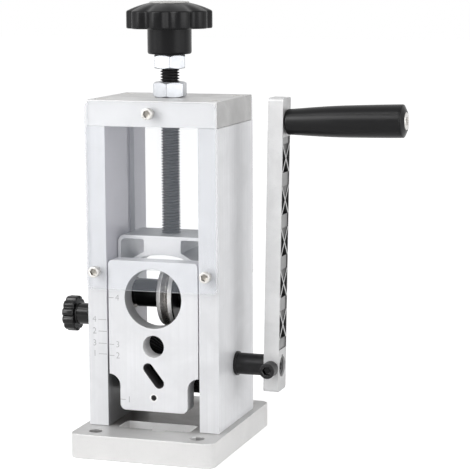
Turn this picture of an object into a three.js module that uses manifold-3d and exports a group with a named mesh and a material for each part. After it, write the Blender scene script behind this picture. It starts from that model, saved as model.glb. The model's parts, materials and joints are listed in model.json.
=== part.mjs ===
// Hand crank wire stripper: a bolted aluminium frame with a knurled feed roller turned by
// a crank, and above it a double edged cutter wheel in a slider that a hand screw lowers.
// Millimetres, +X towards the crank, +Y to the back, +Z up. The origin is on the underside
// of the base, straight below the adjusting screw.

import * as THREE from 'three';
import { mergeVertices } from 'three/addons/utils/BufferGeometryUtils.js';
import Module from 'manifold-3d';

const wasm = await Module();
wasm.setup();

// Driving dimensions

// Clearances: bolted faces, parts with play, turning journals, and the overrun of a cut
const seatGap = 0.1;
const fit = 0.3;
const run = 0.15;
const overrun = 1;

// Frame: base, two side plates and a top plate
const frameWidth = 85.4;
const frameDepth = 70;
const wall = 12.7;
const wallHeight = 187.3;
const baseThickness = 15.5;
const baseSideLedge = 4.15;
const baseFrontLedge = 24.3;
const baseRearLedge = 22.3;
const baseCorner = 6;
const topThickness = 15.9;
const topInset = 0.4;

// Base: mounting holes, and the pocket that the foot of the guide plate drops into
const mountRadius = 4.5;
const mountX = 33;
const mountEdge = 11.1;
const pocketSidePlay = 1.3;
const pocketBackPlay = 3.9;
const pocketDepth = 8;
const pocketCorner = 2;
const reliefRadius = 4.2;
const reliefX = 3.6;

// Socket head screws: frame screws (M5) and guard screws (M4)
const frameScrew = { shank: 2.5, length: 22, head: 4.25, height: 5, socket: 2.3, depth: 2.5 };
const guardScrew = { shank: 2, length: 11, head: 3.5, height: 4, socket: 2.2, depth: 2.2 };
const headEdgeShare = 0.1;
const frameScrewInset = 13;

// Clear guards on the front and the back
const guardThickness = 3;
const guardInset = 0.5;
const guardHeight = 115.7;
const guardTopInset = 0.7;
const guardCorner = 3.5;
const guardScrewRise = 10.9;
const guardScrewInset = 6.2;
const guardTopScrewDrop = 7.5;

// Vertical guide groove in the inner face of each side plate
const grooveFront = 2.9;
const grooveWidth = 11.8;
const grooveDepth = 3;

// Drive shaft, its bushes, and the feed roller with its V groove
const shaftRise = 37.4;
const shaftRadius = 6.7;
const shaftBeyondClip = 1;
const bushRadius = 9;
const bushDepth = 8;
const bushFlangeRadius = 11;
const bushFlange = 1.2;
const rollerRadius = 20.3;
const rollerEndPlay = 0.5;
const rollerChamfer = 0.8;
const rollerGrooveHalf = 8.9;
const rollerFloorHalf = 2.5;
const rollerGrooveDepth = 9;
const rollerKeySide = 4;
const rollerKeyLength = 30;
const washerRadius = 7.6;
const washerThickness = 1.5;
const clipRadius = 8.6;
const clipThickness = 1.2;

// Cutter wheel, its axle and the axle's bushes
const nipGap = 0.7;
const bladeRadius = 20.9;
const bladeWidth = 10.7;
const bladeLeft = -3.4;
const bladeBevel = 2.8;
const bladeBevelRise = 1.3;
const bladeGroove = 2.2;
const axleRadius = 8.9;
const axleShoulderPlay = 2.4;
const journalRadius = 7.9;
const axleEndGap = 0.5;
const axleBushWall = 1.7;

// Slider: a walled profile with a web for the screw and two cheeks for the axle
const sliderPlay = 0.6;
const sliderDepth = 34;
const sliderAboveAxle = 39;
const sliderFlange = 2.3;
const sliderSkin = 2;
const sliderCorner = 4.5;
const windowCorner = 3;
const webHalf = 12.3;
const webDrop = 10.2;
const webFoot = 3.1;
const archRise = 1.6;
const braceAngle = THREE.MathUtils.degToRad( 30 );
const cheek = 5.2;
const cheekBelowAxle = 11;
const cheekCorner = 8;
const tonguePlay = 0.5;
const tongueTopDrop = 5;

// Adjusting screw, its retaining screw, and its two nuts
const screwRadius = 6;
const screwChamfer = 0.8;
const screwNeckRadius = 4;
const screwTopDepth = 23;
const retainerRadius = 5.8;
const retainerHeight = 2.6;
const retainerRecess = 6.5;
const retainerRecessDepth = 4.4;
const nutFlats = 19;
const nutTurnShare = - 13.8 / 360;
const nutFaceShare = 0.97;
const lockNutHeight = 9.4;
const knobNutHeight = 8.5;
const nutSpacing = 8.3;

// Hand knob on top of the adjusting screw
const knobLobes = 10;
const knobRadius = 27.2;
const knobValley = 2.6;
const knobBossRadius = 13.7;
const knobBossRound = 1.8;
const knobBossHeight = 15.9;
const knobRimHeight = 10.9;
const knobEdge = 0.9;
const knobDomeRise = 4.7;
const knobTurnShare = - 70 / 360;
const capRadius = 12.3;
const capThickness = 1.7;
const capRecess = 1;
const capCrown = 0.4;
const capLip = 0.3;
const roundShare = 0.3;

// Guide plate: four cable openings, and a narrow foot
const guideSidePlay = 0.7;
const guideFrontGap = 0.5;
const guideBladeGap = 1.6;
const guideHeight = 94;
const guideLift = 11;
const guideTopCorner = 2.8;
const guideNotch = 7.1;
const guideFootCorner = 3.8;
const guideShoulderRise = 15.2;
const largeHole = { radius: 18.5, rise: 70.8, sides: 48 };
const mediumHole = { radius: 6.9, rise: 41, sides: 28 };
const smallHole = { radius: 1.8, rise: 8.8, sides: 16 };
const slotRadius = 3.15;
const slotHalfRun = 3.6;
const slotHalfRise = 4.6;
const slotRise = 22.6;

// Clamp knob that holds the guide plate
const clampRise = 58.3;
const clampStudRadius = 3;
const clampTipGap = 0.3;
const clampLobes = 11;
const clampKnobRadius = 11.2;
const clampKnobValley = 1.3;
const clampKnobHeight = 7.2;
const clampKnobEdge = 1;
const clampKnobDome = 0.8;
const clampBossRadius = 6.6;
const clampBossLength = 8.5;
const clampStudInKnob = 12;
const clampTurnShare = 5 / 360;

// Crank arm: leans outwards, with crossed ribs in a long recess
const armStandoff = 20.3;
const armThickness = 9.5;
const armWidth = 17;
const armBelow = 15.1;
const armBeyondBolt = 14.8;
const armCorner = 2;
const armLean = THREE.MathUtils.degToRad( 1.1 );
const crankRadius = 152.4;
const armRim = 1.3;
const armRecess = 0.6;
const armRecessAboveShaft = 11.3;
const armRecessBelowBolt = 9;
const cellCount = 5;
const cellFirst = 26.6;
const cellBeforeBolt = 22.2;
const cellHeight = 17.7;
const cellDepth = 3.8;
const ribWidth = 1.4;
const crankJournal = 6.05;
const crankEndInset = 1;
const crankKeySide = 2.5;
const crankKeyLength = 7;
const clampScrew = { shank: 3, head: 4.8, height: 9.3, socket: 2.9, depth: 4 };

// Handle: turning grip on a shoulder bolt
const gripTilt = THREE.MathUtils.degToRad( 1.6 );
const gripGap = 0.5;
const gripLength = 74.3;
const gripRadius = 10.1;
const gripWaist = 7.85;
const gripEndRim = 0.55;
const gripEndLength = 1.7;
const gripRound = 1.3;
const gripSteps = 8;
const boltRadius = 3.4;
const boltHead = 5.45;
const boltHeadHeight = 2.6;
const boltProud = 0.3;
const boltCrown = 0.3;
const boltSocket = 2.9;
const boltSocketDepth = 1.6;
const boltEndInset = 0.8;

// Places worked out from the driving dimensions

const outerX = frameWidth / 2;
const innerX = outerX - wall;
const frontY = - frameDepth / 2;
const backY = frameDepth / 2;
const wallBottom = baseThickness + seatGap;
const wallTop = wallBottom + wallHeight;
const topBottom = wallTop + seatGap;
const frameTop = topBottom + topThickness;
const baseHalf = outerX + baseSideLedge;
const baseFront = frontY - baseFrontLedge;
const baseBack = backY + baseRearLedge;
const shaftZ = baseThickness + shaftRise;
const screwLineX = ( outerX + innerX ) / 2;
const grooveCentre = grooveFront + grooveWidth / 2;
const axleZ = shaftZ + rollerRadius + nipGap + bladeRadius;
const sliderHalf = innerX - sliderPlay;
const sliderTop = axleZ + sliderAboveAxle;
const cheekInner = sliderHalf - cheek;
const guideFront = frontY + guideFrontGap;
const guideBack = - bladeRadius - guideBladeGap;
const guideBottom = baseThickness + guideLift;
const guideMiddle = ( guideFront + guideBack ) / 2;
const guideHalf = innerX - guideSidePlay;
const guideFootHalf = guideHalf - guideNotch;
const clampZ = guideBottom + clampRise;
const lockNutBottom = frameTop + seatGap;
const knobNutBottom = lockNutBottom + lockNutHeight + nutSpacing;
const knobBottom = knobNutBottom + knobNutHeight + fit;
const knobRimBottom = knobBottom + knobBossHeight;
const screwTop = knobBottom + screwTopDepth;
const armLeft = outerX + armStandoff;

const wheelSides = 48;
const roundSides = 32;
const mediumSides = 24;
const smallSides = 12;

// Shape helpers

// A closed mesh as a solid: its doubled corners are merged, and faces without area left out
function solidOf( geometry ) {

	const bare = geometry.clone();
	bare.deleteAttribute( 'normal' );
	bare.deleteAttribute( 'uv' );
	const welded = mergeVertices( bare );
	const corners = welded.index.array;
	const faces = [];
	for ( let i = 0; i < corners.length; i += 3 ) {

		const [ a, b, c ] = corners.slice( i, i + 3 );
		if ( a !== b && b !== c && c !== a ) faces.push( a, b, c );

	}

	return new wasm.Manifold( new wasm.Mesh( {
		numProp: 3,
		vertProperties: new Float32Array( welded.attributes.position.array ),
		triVerts: new Uint32Array( faces ),
	} ) );

}

// A solid back as a geometry with flat facets
function geometryOf( solid ) {

	const mesh = solid.getMesh();
	const geometry = new THREE.BufferGeometry();
	geometry.setAttribute( 'position', new THREE.BufferAttribute( mesh.vertProperties, 3 ) );
	geometry.setIndex( new THREE.BufferAttribute( mesh.triVerts, 1 ) );
	const flat = geometry.toNonIndexed();
	flat.computeVertexNormals();
	return flat;

}

const unitX = new THREE.Vector3( 1, 0, 0 );
const unitY = new THREE.Vector3( 0, 1, 0 );
const unitZ = new THREE.Vector3( 0, 0, 1 );
const minusY = unitY.clone().negate();
const minusZ = unitZ.clone().negate();
const minusX = unitX.clone().negate();

// Turns a geometry so that its own axes lie along the three given directions
function turned( geometry, alongX, alongY, alongZ ) {

	return geometry.applyMatrix4( new THREE.Matrix4().makeBasis( alongX, alongY, alongZ ) );

}

function box( lowX, highX, lowY, highY, lowZ, highZ ) {

	const geometry = new THREE.BoxGeometry( highX - lowX, highY - lowY, highZ - lowZ );
	geometry.translate( ( lowX + highX ) / 2, ( lowY + highY ) / 2, ( lowZ + highZ ) / 2 );
	return solidOf( geometry );

}

function rodX( radius, lowX, highX, y, z, sides = smallSides ) {

	const geometry = new THREE.CylinderGeometry( radius, radius, highX - lowX, sides );
	geometry.rotateZ( - Math.PI / 2 );
	geometry.translate( ( lowX + highX ) / 2, y, z );
	return solidOf( geometry );

}

function rodY( radius, lowY, highY, x, z, sides = smallSides ) {

	const geometry = new THREE.CylinderGeometry( radius, radius, highY - lowY, sides );
	geometry.translate( x, ( lowY + highY ) / 2, z );
	return solidOf( geometry );

}

function rodZ( radius, lowZ, highZ, x, y, sides = smallSides ) {

	const geometry = new THREE.CylinderGeometry( radius, radius, highZ - lowZ, sides );
	geometry.rotateX( Math.PI / 2 );
	geometry.translate( x, y, ( lowZ + highZ ) / 2 );
	return solidOf( geometry );

}

// Extrusions: an outline in X and Z carried along Y, in Y and Z along X, in X and Y along Z
function plateY( shape, lowY, highY ) {

	const geometry = new THREE.ExtrudeGeometry( shape, extrusion( highY - lowY ) );
	turned( geometry, unitX, unitZ, minusY );
	return solidOf( geometry.translate( 0, highY, 0 ) );

}

function plateX( shape, lowX, highX ) {

	const geometry = new THREE.ExtrudeGeometry( shape, extrusion( highX - lowX ) );
	turned( geometry, unitY, unitZ, unitX );
	return solidOf( geometry.translate( lowX, 0, 0 ) );

}

function plateZ( shape, lowZ, highZ ) {

	const geometry = new THREE.ExtrudeGeometry( shape, extrusion( highZ - lowZ ) );
	return solidOf( geometry.translate( 0, 0, lowZ ) );

}

function extrusion( depth ) {

	return { depth, bevelEnabled: false, curveSegments: 4 };

}

// Rectangle from corner to corner, with its own radius at the low and the high corners
function roundedRectangle( lowU, highU, lowV, highV, lowRadius, highRadius ) {

	const shape = new THREE.Shape();
	shape.moveTo( lowU + lowRadius, lowV );
	shape.lineTo( highU - lowRadius, lowV );
	shape.absarc( highU - lowRadius, lowV + lowRadius, lowRadius, - Math.PI / 2, 0 );
	shape.lineTo( highU, highV - highRadius );
	shape.absarc( highU - highRadius, highV - highRadius, highRadius, 0, Math.PI / 2 );
	shape.lineTo( lowU + highRadius, highV );
	shape.absarc( lowU + highRadius, highV - highRadius, highRadius, Math.PI / 2, Math.PI );
	shape.lineTo( lowU, lowV + lowRadius );
	shape.absarc( lowU + lowRadius, lowV + lowRadius, lowRadius, Math.PI, Math.PI * 1.5 );
	return shape;

}

// Solid of revolution about Z from [ radius, height ] points that start and end on the axis
function turning( profile, sides = roundSides ) {

	const points = profile.map( ( [ radius, height ] ) => new THREE.Vector2( radius, height ) );
	const geometry = new THREE.LatheGeometry( points, sides );
	geometry.rotateX( Math.PI / 2 );
	return solidOf( facingOut( geometry ) );

}

// The same about X, with heights measured along X and the axis at the given y and z
function turningX( profile, y, z, sides = roundSides ) {

	const points = profile.map( ( [ radius, height ] ) => new THREE.Vector2( radius, height ) );
	const geometry = new THREE.LatheGeometry( points, sides );
	geometry.rotateZ( - Math.PI / 2 );
	return solidOf( facingOut( geometry ).translate( 0, y, z ) );

}

// Turns the faces round when the enclosed volume comes out negative
function facingOut( geometry ) {

	const corners = geometry.index.array;
	const place = geometry.attributes.position;
	const a = new THREE.Vector3();
	const b = new THREE.Vector3();
	const c = new THREE.Vector3();
	let volume = 0;
	for ( let i = 0; i < corners.length; i += 3 ) {

		a.fromBufferAttribute( place, corners[ i ] );
		b.fromBufferAttribute( place, corners[ i + 1 ] );
		c.fromBufferAttribute( place, corners[ i + 2 ] );
		volume += a.dot( b.cross( c ) );

	}

	if ( volume > 0 ) return geometry;
	for ( let i = 0; i < corners.length; i += 3 ) {

		[ corners[ i + 1 ], corners[ i + 2 ] ] = [ corners[ i + 2 ], corners[ i + 1 ] ];

	}

	return geometry;

}

// Lobed knob about Z: rings of { z, radius, valley }, closed by a point at either end.
// The radius falls by the valley's depth between the lobes, and stays full along them.
function lobedTurning( rings, lobes, turnShare, stepsPerLobe ) {

	const steps = lobes * stepsPerLobe;
	const places = [ 0, 0, rings[ 0 ].z ];
	for ( const { z, radius, valley } of rings ) {

		for ( let i = 0; i < steps; i ++ ) {

			const angle = 2 * Math.PI * ( i / steps + turnShare );
			const dip = ( 0.5 + 0.5 * Math.cos( 2 * Math.PI * i / stepsPerLobe ) ) ** 2;
			const reach = radius - valley * dip;
			places.push( reach * Math.cos( angle ), reach * Math.sin( angle ), z );

		}

	}

	places.push( 0, 0, rings[ rings.length - 1 ].z );
	const last = rings.length * steps + 1;
	const faces = [];
	for ( let i = 0; i < steps; i ++ ) {

		const next = ( i + 1 ) % steps;
		faces.push( 0, 1 + next, 1 + i );
		for ( let ring = 1; ring < rings.length; ring ++ ) {

			const low = 1 + ( ring - 1 ) * steps;
			const high = low + steps;
			faces.push( low + i, low + next, high + next );
			faces.push( low + i, high + next, high + i );

		}

		faces.push( last, last - steps + i, last - steps + next );

	}

	const geometry = new THREE.BufferGeometry();
	geometry.setAttribute( 'position', new THREE.Float32BufferAttribute( places, 3 ) );
	geometry.setIndex( faces );
	return solidOf( facingOut( geometry ) );

}

// Six sided prism about Z with the given distance across its flats
function hexagon( flats, lowZ, highZ, turn ) {

	const radius = flats / 2 / Math.cos( Math.PI / 6 );
	const shape = new THREE.Shape();
	for ( let i = 0; i < 6; i ++ ) {

		const angle = turn + i * Math.PI / 3;
		const place = [ radius * Math.cos( angle ), radius * Math.sin( angle ) ];
		if ( i === 0 ) shape.moveTo( ...place );
		else shape.lineTo( ...place );

	}

	return plateZ( shape, lowZ, highZ );

}

// Nut about Z with its corners turned down at both ends, and a plain bore
function nut( flats, bore, lowZ, highZ, turn ) {

	const corner = flats / 2 / Math.cos( Math.PI / 6 );
	const face = flats / 2 * nutFaceShare;
	const drop = ( corner - face ) * Math.tan( Math.PI / 6 );
	const chamfered = turning( [
		[ 0, lowZ ], [ face, lowZ ], [ corner, lowZ + drop ],
		[ corner, highZ - drop ], [ face, highZ ], [ 0, highZ ],
	], mediumSides );
	const hole = rodZ( bore, lowZ - overrun, highZ + overrun, 0, 0 );
	return hexagon( flats, lowZ, highZ, turn ).intersect( chamfered ).subtract( hole );

}

// Socket head screw about Z: the head stands on z = 0, and the shank hangs below it
function socketScrew( { shank, length, head, height, socket, depth } ) {

	const edge = head * headEdgeShare;
	const body = turning( [
		[ 0, - length ], [ shank, - length ], [ shank, 0 ], [ head, 0 ],
		[ head, height - edge ], [ head - edge, height ], [ 0, height ],
	], smallSides );
	const flats = 2 * socket * Math.cos( Math.PI / 6 );
	return body.subtract( hexagon( flats, height - depth, height + overrun, 0 ) );

}

// Moves a solid so that its own Z lies along a direction, from a place
function placed( solid, direction, x, y, z ) {

	const turn = new THREE.Quaternion().setFromUnitVectors( unitZ, direction );
	const matrix = new THREE.Matrix4().makeRotationFromQuaternion( turn );
	matrix.setPosition( x, y, z );
	return solid.transform( matrix.toArray() );

}

// Finishes

function finish( color, roughness, metalness, opacity = 1 ) {

	return new THREE.MeshStandardMaterial( {
		color, roughness, metalness, opacity, transparent: opacity < 1,
	} );

}

const finishes = {
	plate: () => finish( 0xd6d8db, 0.38, 0.9 ),
	satin: () => finish( 0xc9c9c9, 0.42, 0.9 ),
	cast: () => finish( 0xcfcfd1, 0.5, 0.85 ),
	clear: () => finish( 0xf2f6fa, 0.05, 0, 0.25 ),
	zinc: () => finish( 0xdfe4e8, 0.25, 1 ),
	stainless: () => finish( 0xcfcac2, 0.25, 1 ),
	blackOxide: () => finish( 0x1b1c1e, 0.4, 0.6 ),
	blade: () => finish( 0x8c8b8a, 0.25, 0.95 ),
	bronze: () => finish( 0x9a7b4c, 0.45, 0.9 ),
	blackPlastic: () => finish( 0x26262a, 0.45, 0 ),
	glossPlastic: () => finish( 0x17171a, 0.15, 0 ),
	greyPlastic: () => finish( 0xb9b8b4, 0.5, 0 ),
};

const root = new THREE.Group();

function add( name, solid, kind, parent = root ) {

	const mesh = new THREE.Mesh( geometryOf( solid ), finishes[ kind ]() );
	mesh.name = name;
	parent.add( mesh );
	return mesh;

}

// Frame

const corners = [ [ - 1, - 1 ], [ 1, - 1 ], [ 1, 1 ], [ - 1, 1 ] ];
const frameScrewY = backY - frameScrewInset;

function basePlate() {

	const outline = roundedRectangle(
		- baseHalf, baseHalf, baseFront, baseBack, baseCorner, baseCorner );
	let plate = plateZ( outline, 0, baseThickness );
	const pocketFloor = baseThickness - pocketDepth;
	const pocketHalf = guideFootHalf + pocketSidePlay;
	const pocketBack = guideBack + pocketBackPlay;
	const pocket = roundedRectangle(
		- pocketHalf, pocketHalf, frontY, pocketBack, pocketCorner, pocketCorner );
	plate = plate.subtract( plateZ( pocket, pocketFloor, baseThickness + overrun ) );
	plate = plate.subtract(
		rodZ( reliefRadius, pocketFloor, baseThickness + overrun, reliefX, frontY ) );
	for ( const [ sideX, sideY ] of corners ) {

		const y = sideY < 0 ? baseFront + mountEdge : baseBack - mountEdge;
		plate = plate.subtract(
			rodZ( mountRadius, - overrun, baseThickness + overrun, sideX * mountX, y ) );
		const x = sideX * screwLineX;
		const headRoom = frameScrew.height + fit;
		plate = plate.subtract(
			rodZ( frameScrew.head + fit, - overrun, headRoom, x, sideY * frameScrewY ) );
		plate = plate.subtract(
			rodZ( frameScrew.shank + fit, 0, baseThickness + overrun, x, sideY * frameScrewY ) );

	}

	return plate;

}

function sidePlate( side ) {

	const inner = side * innerX;
	const outer = side * outerX;
	const low = Math.min( inner, outer );
	const high = Math.max( inner, outer );
	let plate = box( low, high, frontY, backY, wallBottom, wallTop );

	const grooveFloor = side * ( innerX + grooveDepth );
	const grooveMouth = side * ( innerX - overrun );
	plate = plate.subtract( box(
		Math.min( grooveFloor, grooveMouth ), Math.max( grooveFloor, grooveMouth ),
		grooveFront, grooveFront + grooveWidth, wallBottom - overrun, wallTop + overrun ) );

	plate = plate.subtract(
		rodX( shaftRadius + fit, low - overrun, high + overrun, 0, shaftZ, mediumSides ) );
	const pocketEnd = side * ( innerX + bushDepth + fit );
	const pocketMouth = side * ( innerX - overrun );
	plate = plate.subtract( rodX(
		bushRadius + fit, Math.min( pocketEnd, pocketMouth ), Math.max( pocketEnd, pocketMouth ),
		0, shaftZ, mediumSides ) );

	if ( side < 0 ) {

		plate = plate.subtract(
			rodX( clampStudRadius + fit, low - overrun, high + overrun, guideMiddle, clampZ ) );

	}

	const x = side * screwLineX;
	const bore = frameScrew.shank + fit;
	const reach = frameScrew.length + fit;
	for ( const y of [ - frameScrewY, frameScrewY ] ) {

		const lowEnd = frameScrew.height + fit + reach;
		const highEnd = frameTop - frameScrew.height - fit - reach;
		plate = plate.subtract( rodZ( bore, wallBottom - overrun, lowEnd, x, y ) );
		plate = plate.subtract( rodZ( bore, highEnd, wallTop + overrun, x, y ) );

	}

	for ( const face of [ frontY, backY ] ) {

		plate = plate.subtract( guardScrewHole( face, side * guardScrewX, guardScrewZ ) );

	}

	return plate;

}

function topPlate() {

	const half = outerX - topInset;
	let plate = box( - half, half, frontY, backY, topBottom, frameTop );
	plate = plate.subtract(
		rodZ( screwRadius + fit, topBottom - overrun, frameTop + overrun, 0, 0, roundSides ) );
	for ( const [ sideX, sideY ] of corners ) {

		const x = sideX * screwLineX;
		const y = sideY * frameScrewY;
		const headRoom = frameTop - frameScrew.height - fit;
		plate = plate.subtract(
			rodZ( frameScrew.head + fit, headRoom, frameTop + overrun, x, y ) );
		plate = plate.subtract(
			rodZ( frameScrew.shank + fit, topBottom - overrun, frameTop, x, y ) );

	}

	for ( const face of [ frontY, backY ] ) {

		plate = plate.subtract( guardScrewHole( face, 0, guardTopScrewZ ) );

	}

	return plate;

}

const guardHalf = outerX - guardInset;
const guardTop = frameTop - guardTopInset;
const guardBottom = guardTop - guardHeight;
const guardScrewX = guardHalf - guardScrewInset;
const guardScrewZ = guardBottom + guardScrewRise;
const guardTopScrewZ = frameTop - guardTopScrewDrop;

// Blind hole in the front or the back of the frame, as deep as the guard's screw reaches
function guardScrewHole( face, x, z ) {

	const depth = guardScrew.length - guardThickness + fit;
	const inward = - Math.sign( face );
	const bottom = face + inward * depth;
	const mouth = face - inward * overrun;
	return rodY(
		guardScrew.shank + fit, Math.min( bottom, mouth ), Math.max( bottom, mouth ), x, z );

}

const guardScrewPlaces = {
	top: [ 0, guardTopScrewZ ],
	left: [ - guardScrewX, guardScrewZ ],
	right: [ guardScrewX, guardScrewZ ],
};

function guard( side ) {

	const outline = roundedRectangle(
		- guardHalf, guardHalf, guardBottom, guardTop, guardCorner, guardCorner );
	const near = side * ( backY + seatGap );
	const far = near + side * guardThickness;
	const low = Math.min( near, far );
	const high = Math.max( near, far );
	let sheet = plateY( outline, low, high );
	for ( const [ x, z ] of Object.values( guardScrewPlaces ) ) {

		sheet = sheet.subtract(
			rodY( guardScrew.shank + fit, low - overrun, high + overrun, x, z ) );

	}

	return sheet;

}

add( 'base_plate', basePlate(), 'satin' );
add( 'side_plate_left', sidePlate( - 1 ), 'plate' );
add( 'side_plate_right', sidePlate( 1 ), 'plate' );
add( 'top_plate', topPlate(), 'satin' );
add( 'front_guard', guard( - 1 ), 'clear' );
add( 'rear_guard', guard( 1 ), 'clear' );

for ( const [ place, [ x, z ] ] of Object.entries( guardScrewPlaces ) ) {

	const headSeat = backY + seatGap + guardThickness + seatGap;
	const front = placed( socketScrew( guardScrew ), minusY, x, - headSeat, z );
	const rear = placed( socketScrew( guardScrew ), unitY, x, headSeat, z );
	add( `guard_screw_front_${ place }`, front, 'stainless' );
	add( `guard_screw_rear_${ place }`, rear, 'stainless' );

}

corners.forEach( ( [ sideX, sideY ], index ) => {

	const x = sideX * screwLineX;
	const y = sideY * frameScrewY;
	const upper = placed( socketScrew( frameScrew ), unitZ, x, y, frameTop - frameScrew.height );
	const lower = placed( socketScrew( frameScrew ), minusZ, x, y, frameScrew.height );
	add( `top_screw_${ index + 1 }`, upper, 'blackOxide' );
	add( `base_screw_${ index + 1 }`, lower, 'blackOxide' );

} );

// Drive shaft, bushes and feed roller

const bushFlangeX = innerX - bushFlange - seatGap;

function shaftBush( side ) {

	const bore = shaftRadius + run;
	const end = innerX + bushDepth;
	return turningX( [
		[ bore, side * bushFlangeX ], [ bushFlangeRadius, side * bushFlangeX ],
		[ bushFlangeRadius, side * ( innerX - seatGap ) ],
		[ bushRadius, side * ( innerX - seatGap ) ],
		[ bushRadius, side * end ], [ bore, side * end ], [ bore, side * bushFlangeX ],
	], 0, shaftZ, mediumSides );

}

const clipRight = - outerX - seatGap;
const shaftLeft = clipRight - clipThickness - shaftBeyondClip;
const shaftShoulder = armLeft - fit;
const shaftRight = armLeft + armThickness - crankEndInset;
const rollerKeyDepth = rollerKeySide / 2;

function driveShaft() {

	const chamfer = fit;
	const shaft = turningX( [
		[ 0, shaftLeft ], [ shaftRadius - chamfer, shaftLeft ],
		[ shaftRadius, shaftLeft + chamfer ], [ shaftRadius, shaftShoulder ],
		[ crankJournal, shaftShoulder ], [ crankJournal, shaftRight ], [ 0, shaftRight ],
	], 0, shaftZ );
	const keySeat = shaftZ + shaftRadius - rollerKeyDepth;
	const keyHalf = rollerKeySide / 2 + fit;
	const keyRun = rollerKeyLength / 2 + fit;
	const crankKeyTop = shaftZ + crankJournal;
	return shaft
		.subtract( box( - keyRun, keyRun, - keyHalf, keyHalf,
			keySeat - fit, shaftZ + shaftRadius + overrun ) )
		.subtract( box( shaftRight - crankKeyLength - fit, shaftRight + overrun,
			- crankKeySide / 2 - fit, crankKeySide / 2 + fit,
			crankKeyTop - crankKeySide / 2 - fit, crankKeyTop + overrun ) );

}

function feedRoller() {

	const rollerHalf = bushFlangeX - rollerEndPlay;
	const bore = shaftRadius + fit;
	const edge = rollerRadius - rollerChamfer;
	const floor = rollerRadius - rollerGrooveDepth;
	const roller = turningX( [
		[ bore, - rollerHalf ], [ edge, - rollerHalf ],
		[ rollerRadius, - rollerHalf + rollerChamfer ],
		[ rollerRadius, - rollerGrooveHalf ], [ floor, - rollerFloorHalf ],
		[ floor, rollerFloorHalf ], [ rollerRadius, rollerGrooveHalf ],
		[ rollerRadius, rollerHalf - rollerChamfer ], [ edge, rollerHalf ],
		[ bore, rollerHalf ], [ bore, - rollerHalf ],
	], 0, shaftZ );
	const keyHalf = rollerKeySide / 2 + fit;
	const keyTop = shaftZ + shaftRadius + rollerKeyDepth + fit;
	return roller.subtract(
		box( - rollerHalf - overrun, rollerHalf + overrun, - keyHalf, keyHalf, shaftZ, keyTop ) );

}

const rollerKeyTop = shaftZ + shaftRadius + rollerKeyDepth;
const rollerKey = box(
	- rollerKeyLength / 2, rollerKeyLength / 2, - rollerKeySide / 2, rollerKeySide / 2,
	rollerKeyTop - rollerKeySide, rollerKeyTop );

function ringX( inner, outer, lowX, highX ) {

	return turningX( [
		[ inner, lowX ], [ outer, lowX ], [ outer, highX ], [ inner, highX ], [ inner, lowX ],
	], 0, shaftZ, mediumSides );

}

const washerLeft = outerX + seatGap;

add( 'shaft_bush_left', shaftBush( - 1 ), 'bronze' );
add( 'shaft_bush_right', shaftBush( 1 ), 'bronze' );
add( 'drive_shaft', driveShaft(), 'blackOxide' );
add( 'feed_roller', feedRoller(), 'blackOxide' );
add( 'roller_key', rollerKey, 'blackOxide' );
add( 'thrust_washer',
	ringX( shaftRadius + run, washerRadius, washerLeft, washerLeft + washerThickness ),
	'blackOxide' );
add( 'shaft_clip',
	ringX( shaftRadius + run, clipRadius, clipRight - clipThickness, clipRight ),
	'blackOxide' );

// Slider, axle and cutter wheel

const sliderFront = - sliderDepth / 2;
const sliderBack = sliderDepth / 2;
const windowTop = sliderTop - sliderFlange;
const windowOuter = sliderHalf - sliderSkin;
const webShoulder = sliderTop - webDrop;
const webBottom = webShoulder - webFoot;
const cheekBottom = axleZ - cheekBelowAxle;

// The braces run down and outwards from the web at a steady slope
function braceDrop( fromX, toX ) {

	return ( toX - fromX ) * Math.tan( braceAngle );

}

function sliderWindow( side ) {

	const hole = new THREE.Path();
	const small = windowCorner / 2;
	const low = webShoulder - braceDrop( webHalf, windowOuter );
	hole.moveTo( side * webHalf, webShoulder );
	hole.lineTo( side * webHalf, windowTop - small );
	hole.quadraticCurveTo( side * webHalf, windowTop, side * ( webHalf + small ), windowTop );
	hole.lineTo( side * ( windowOuter - windowCorner ), windowTop );
	hole.quadraticCurveTo(
		side * windowOuter, windowTop, side * windowOuter, windowTop - windowCorner );
	hole.lineTo( side * windowOuter, low );
	hole.closePath();
	return hole;

}

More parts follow.
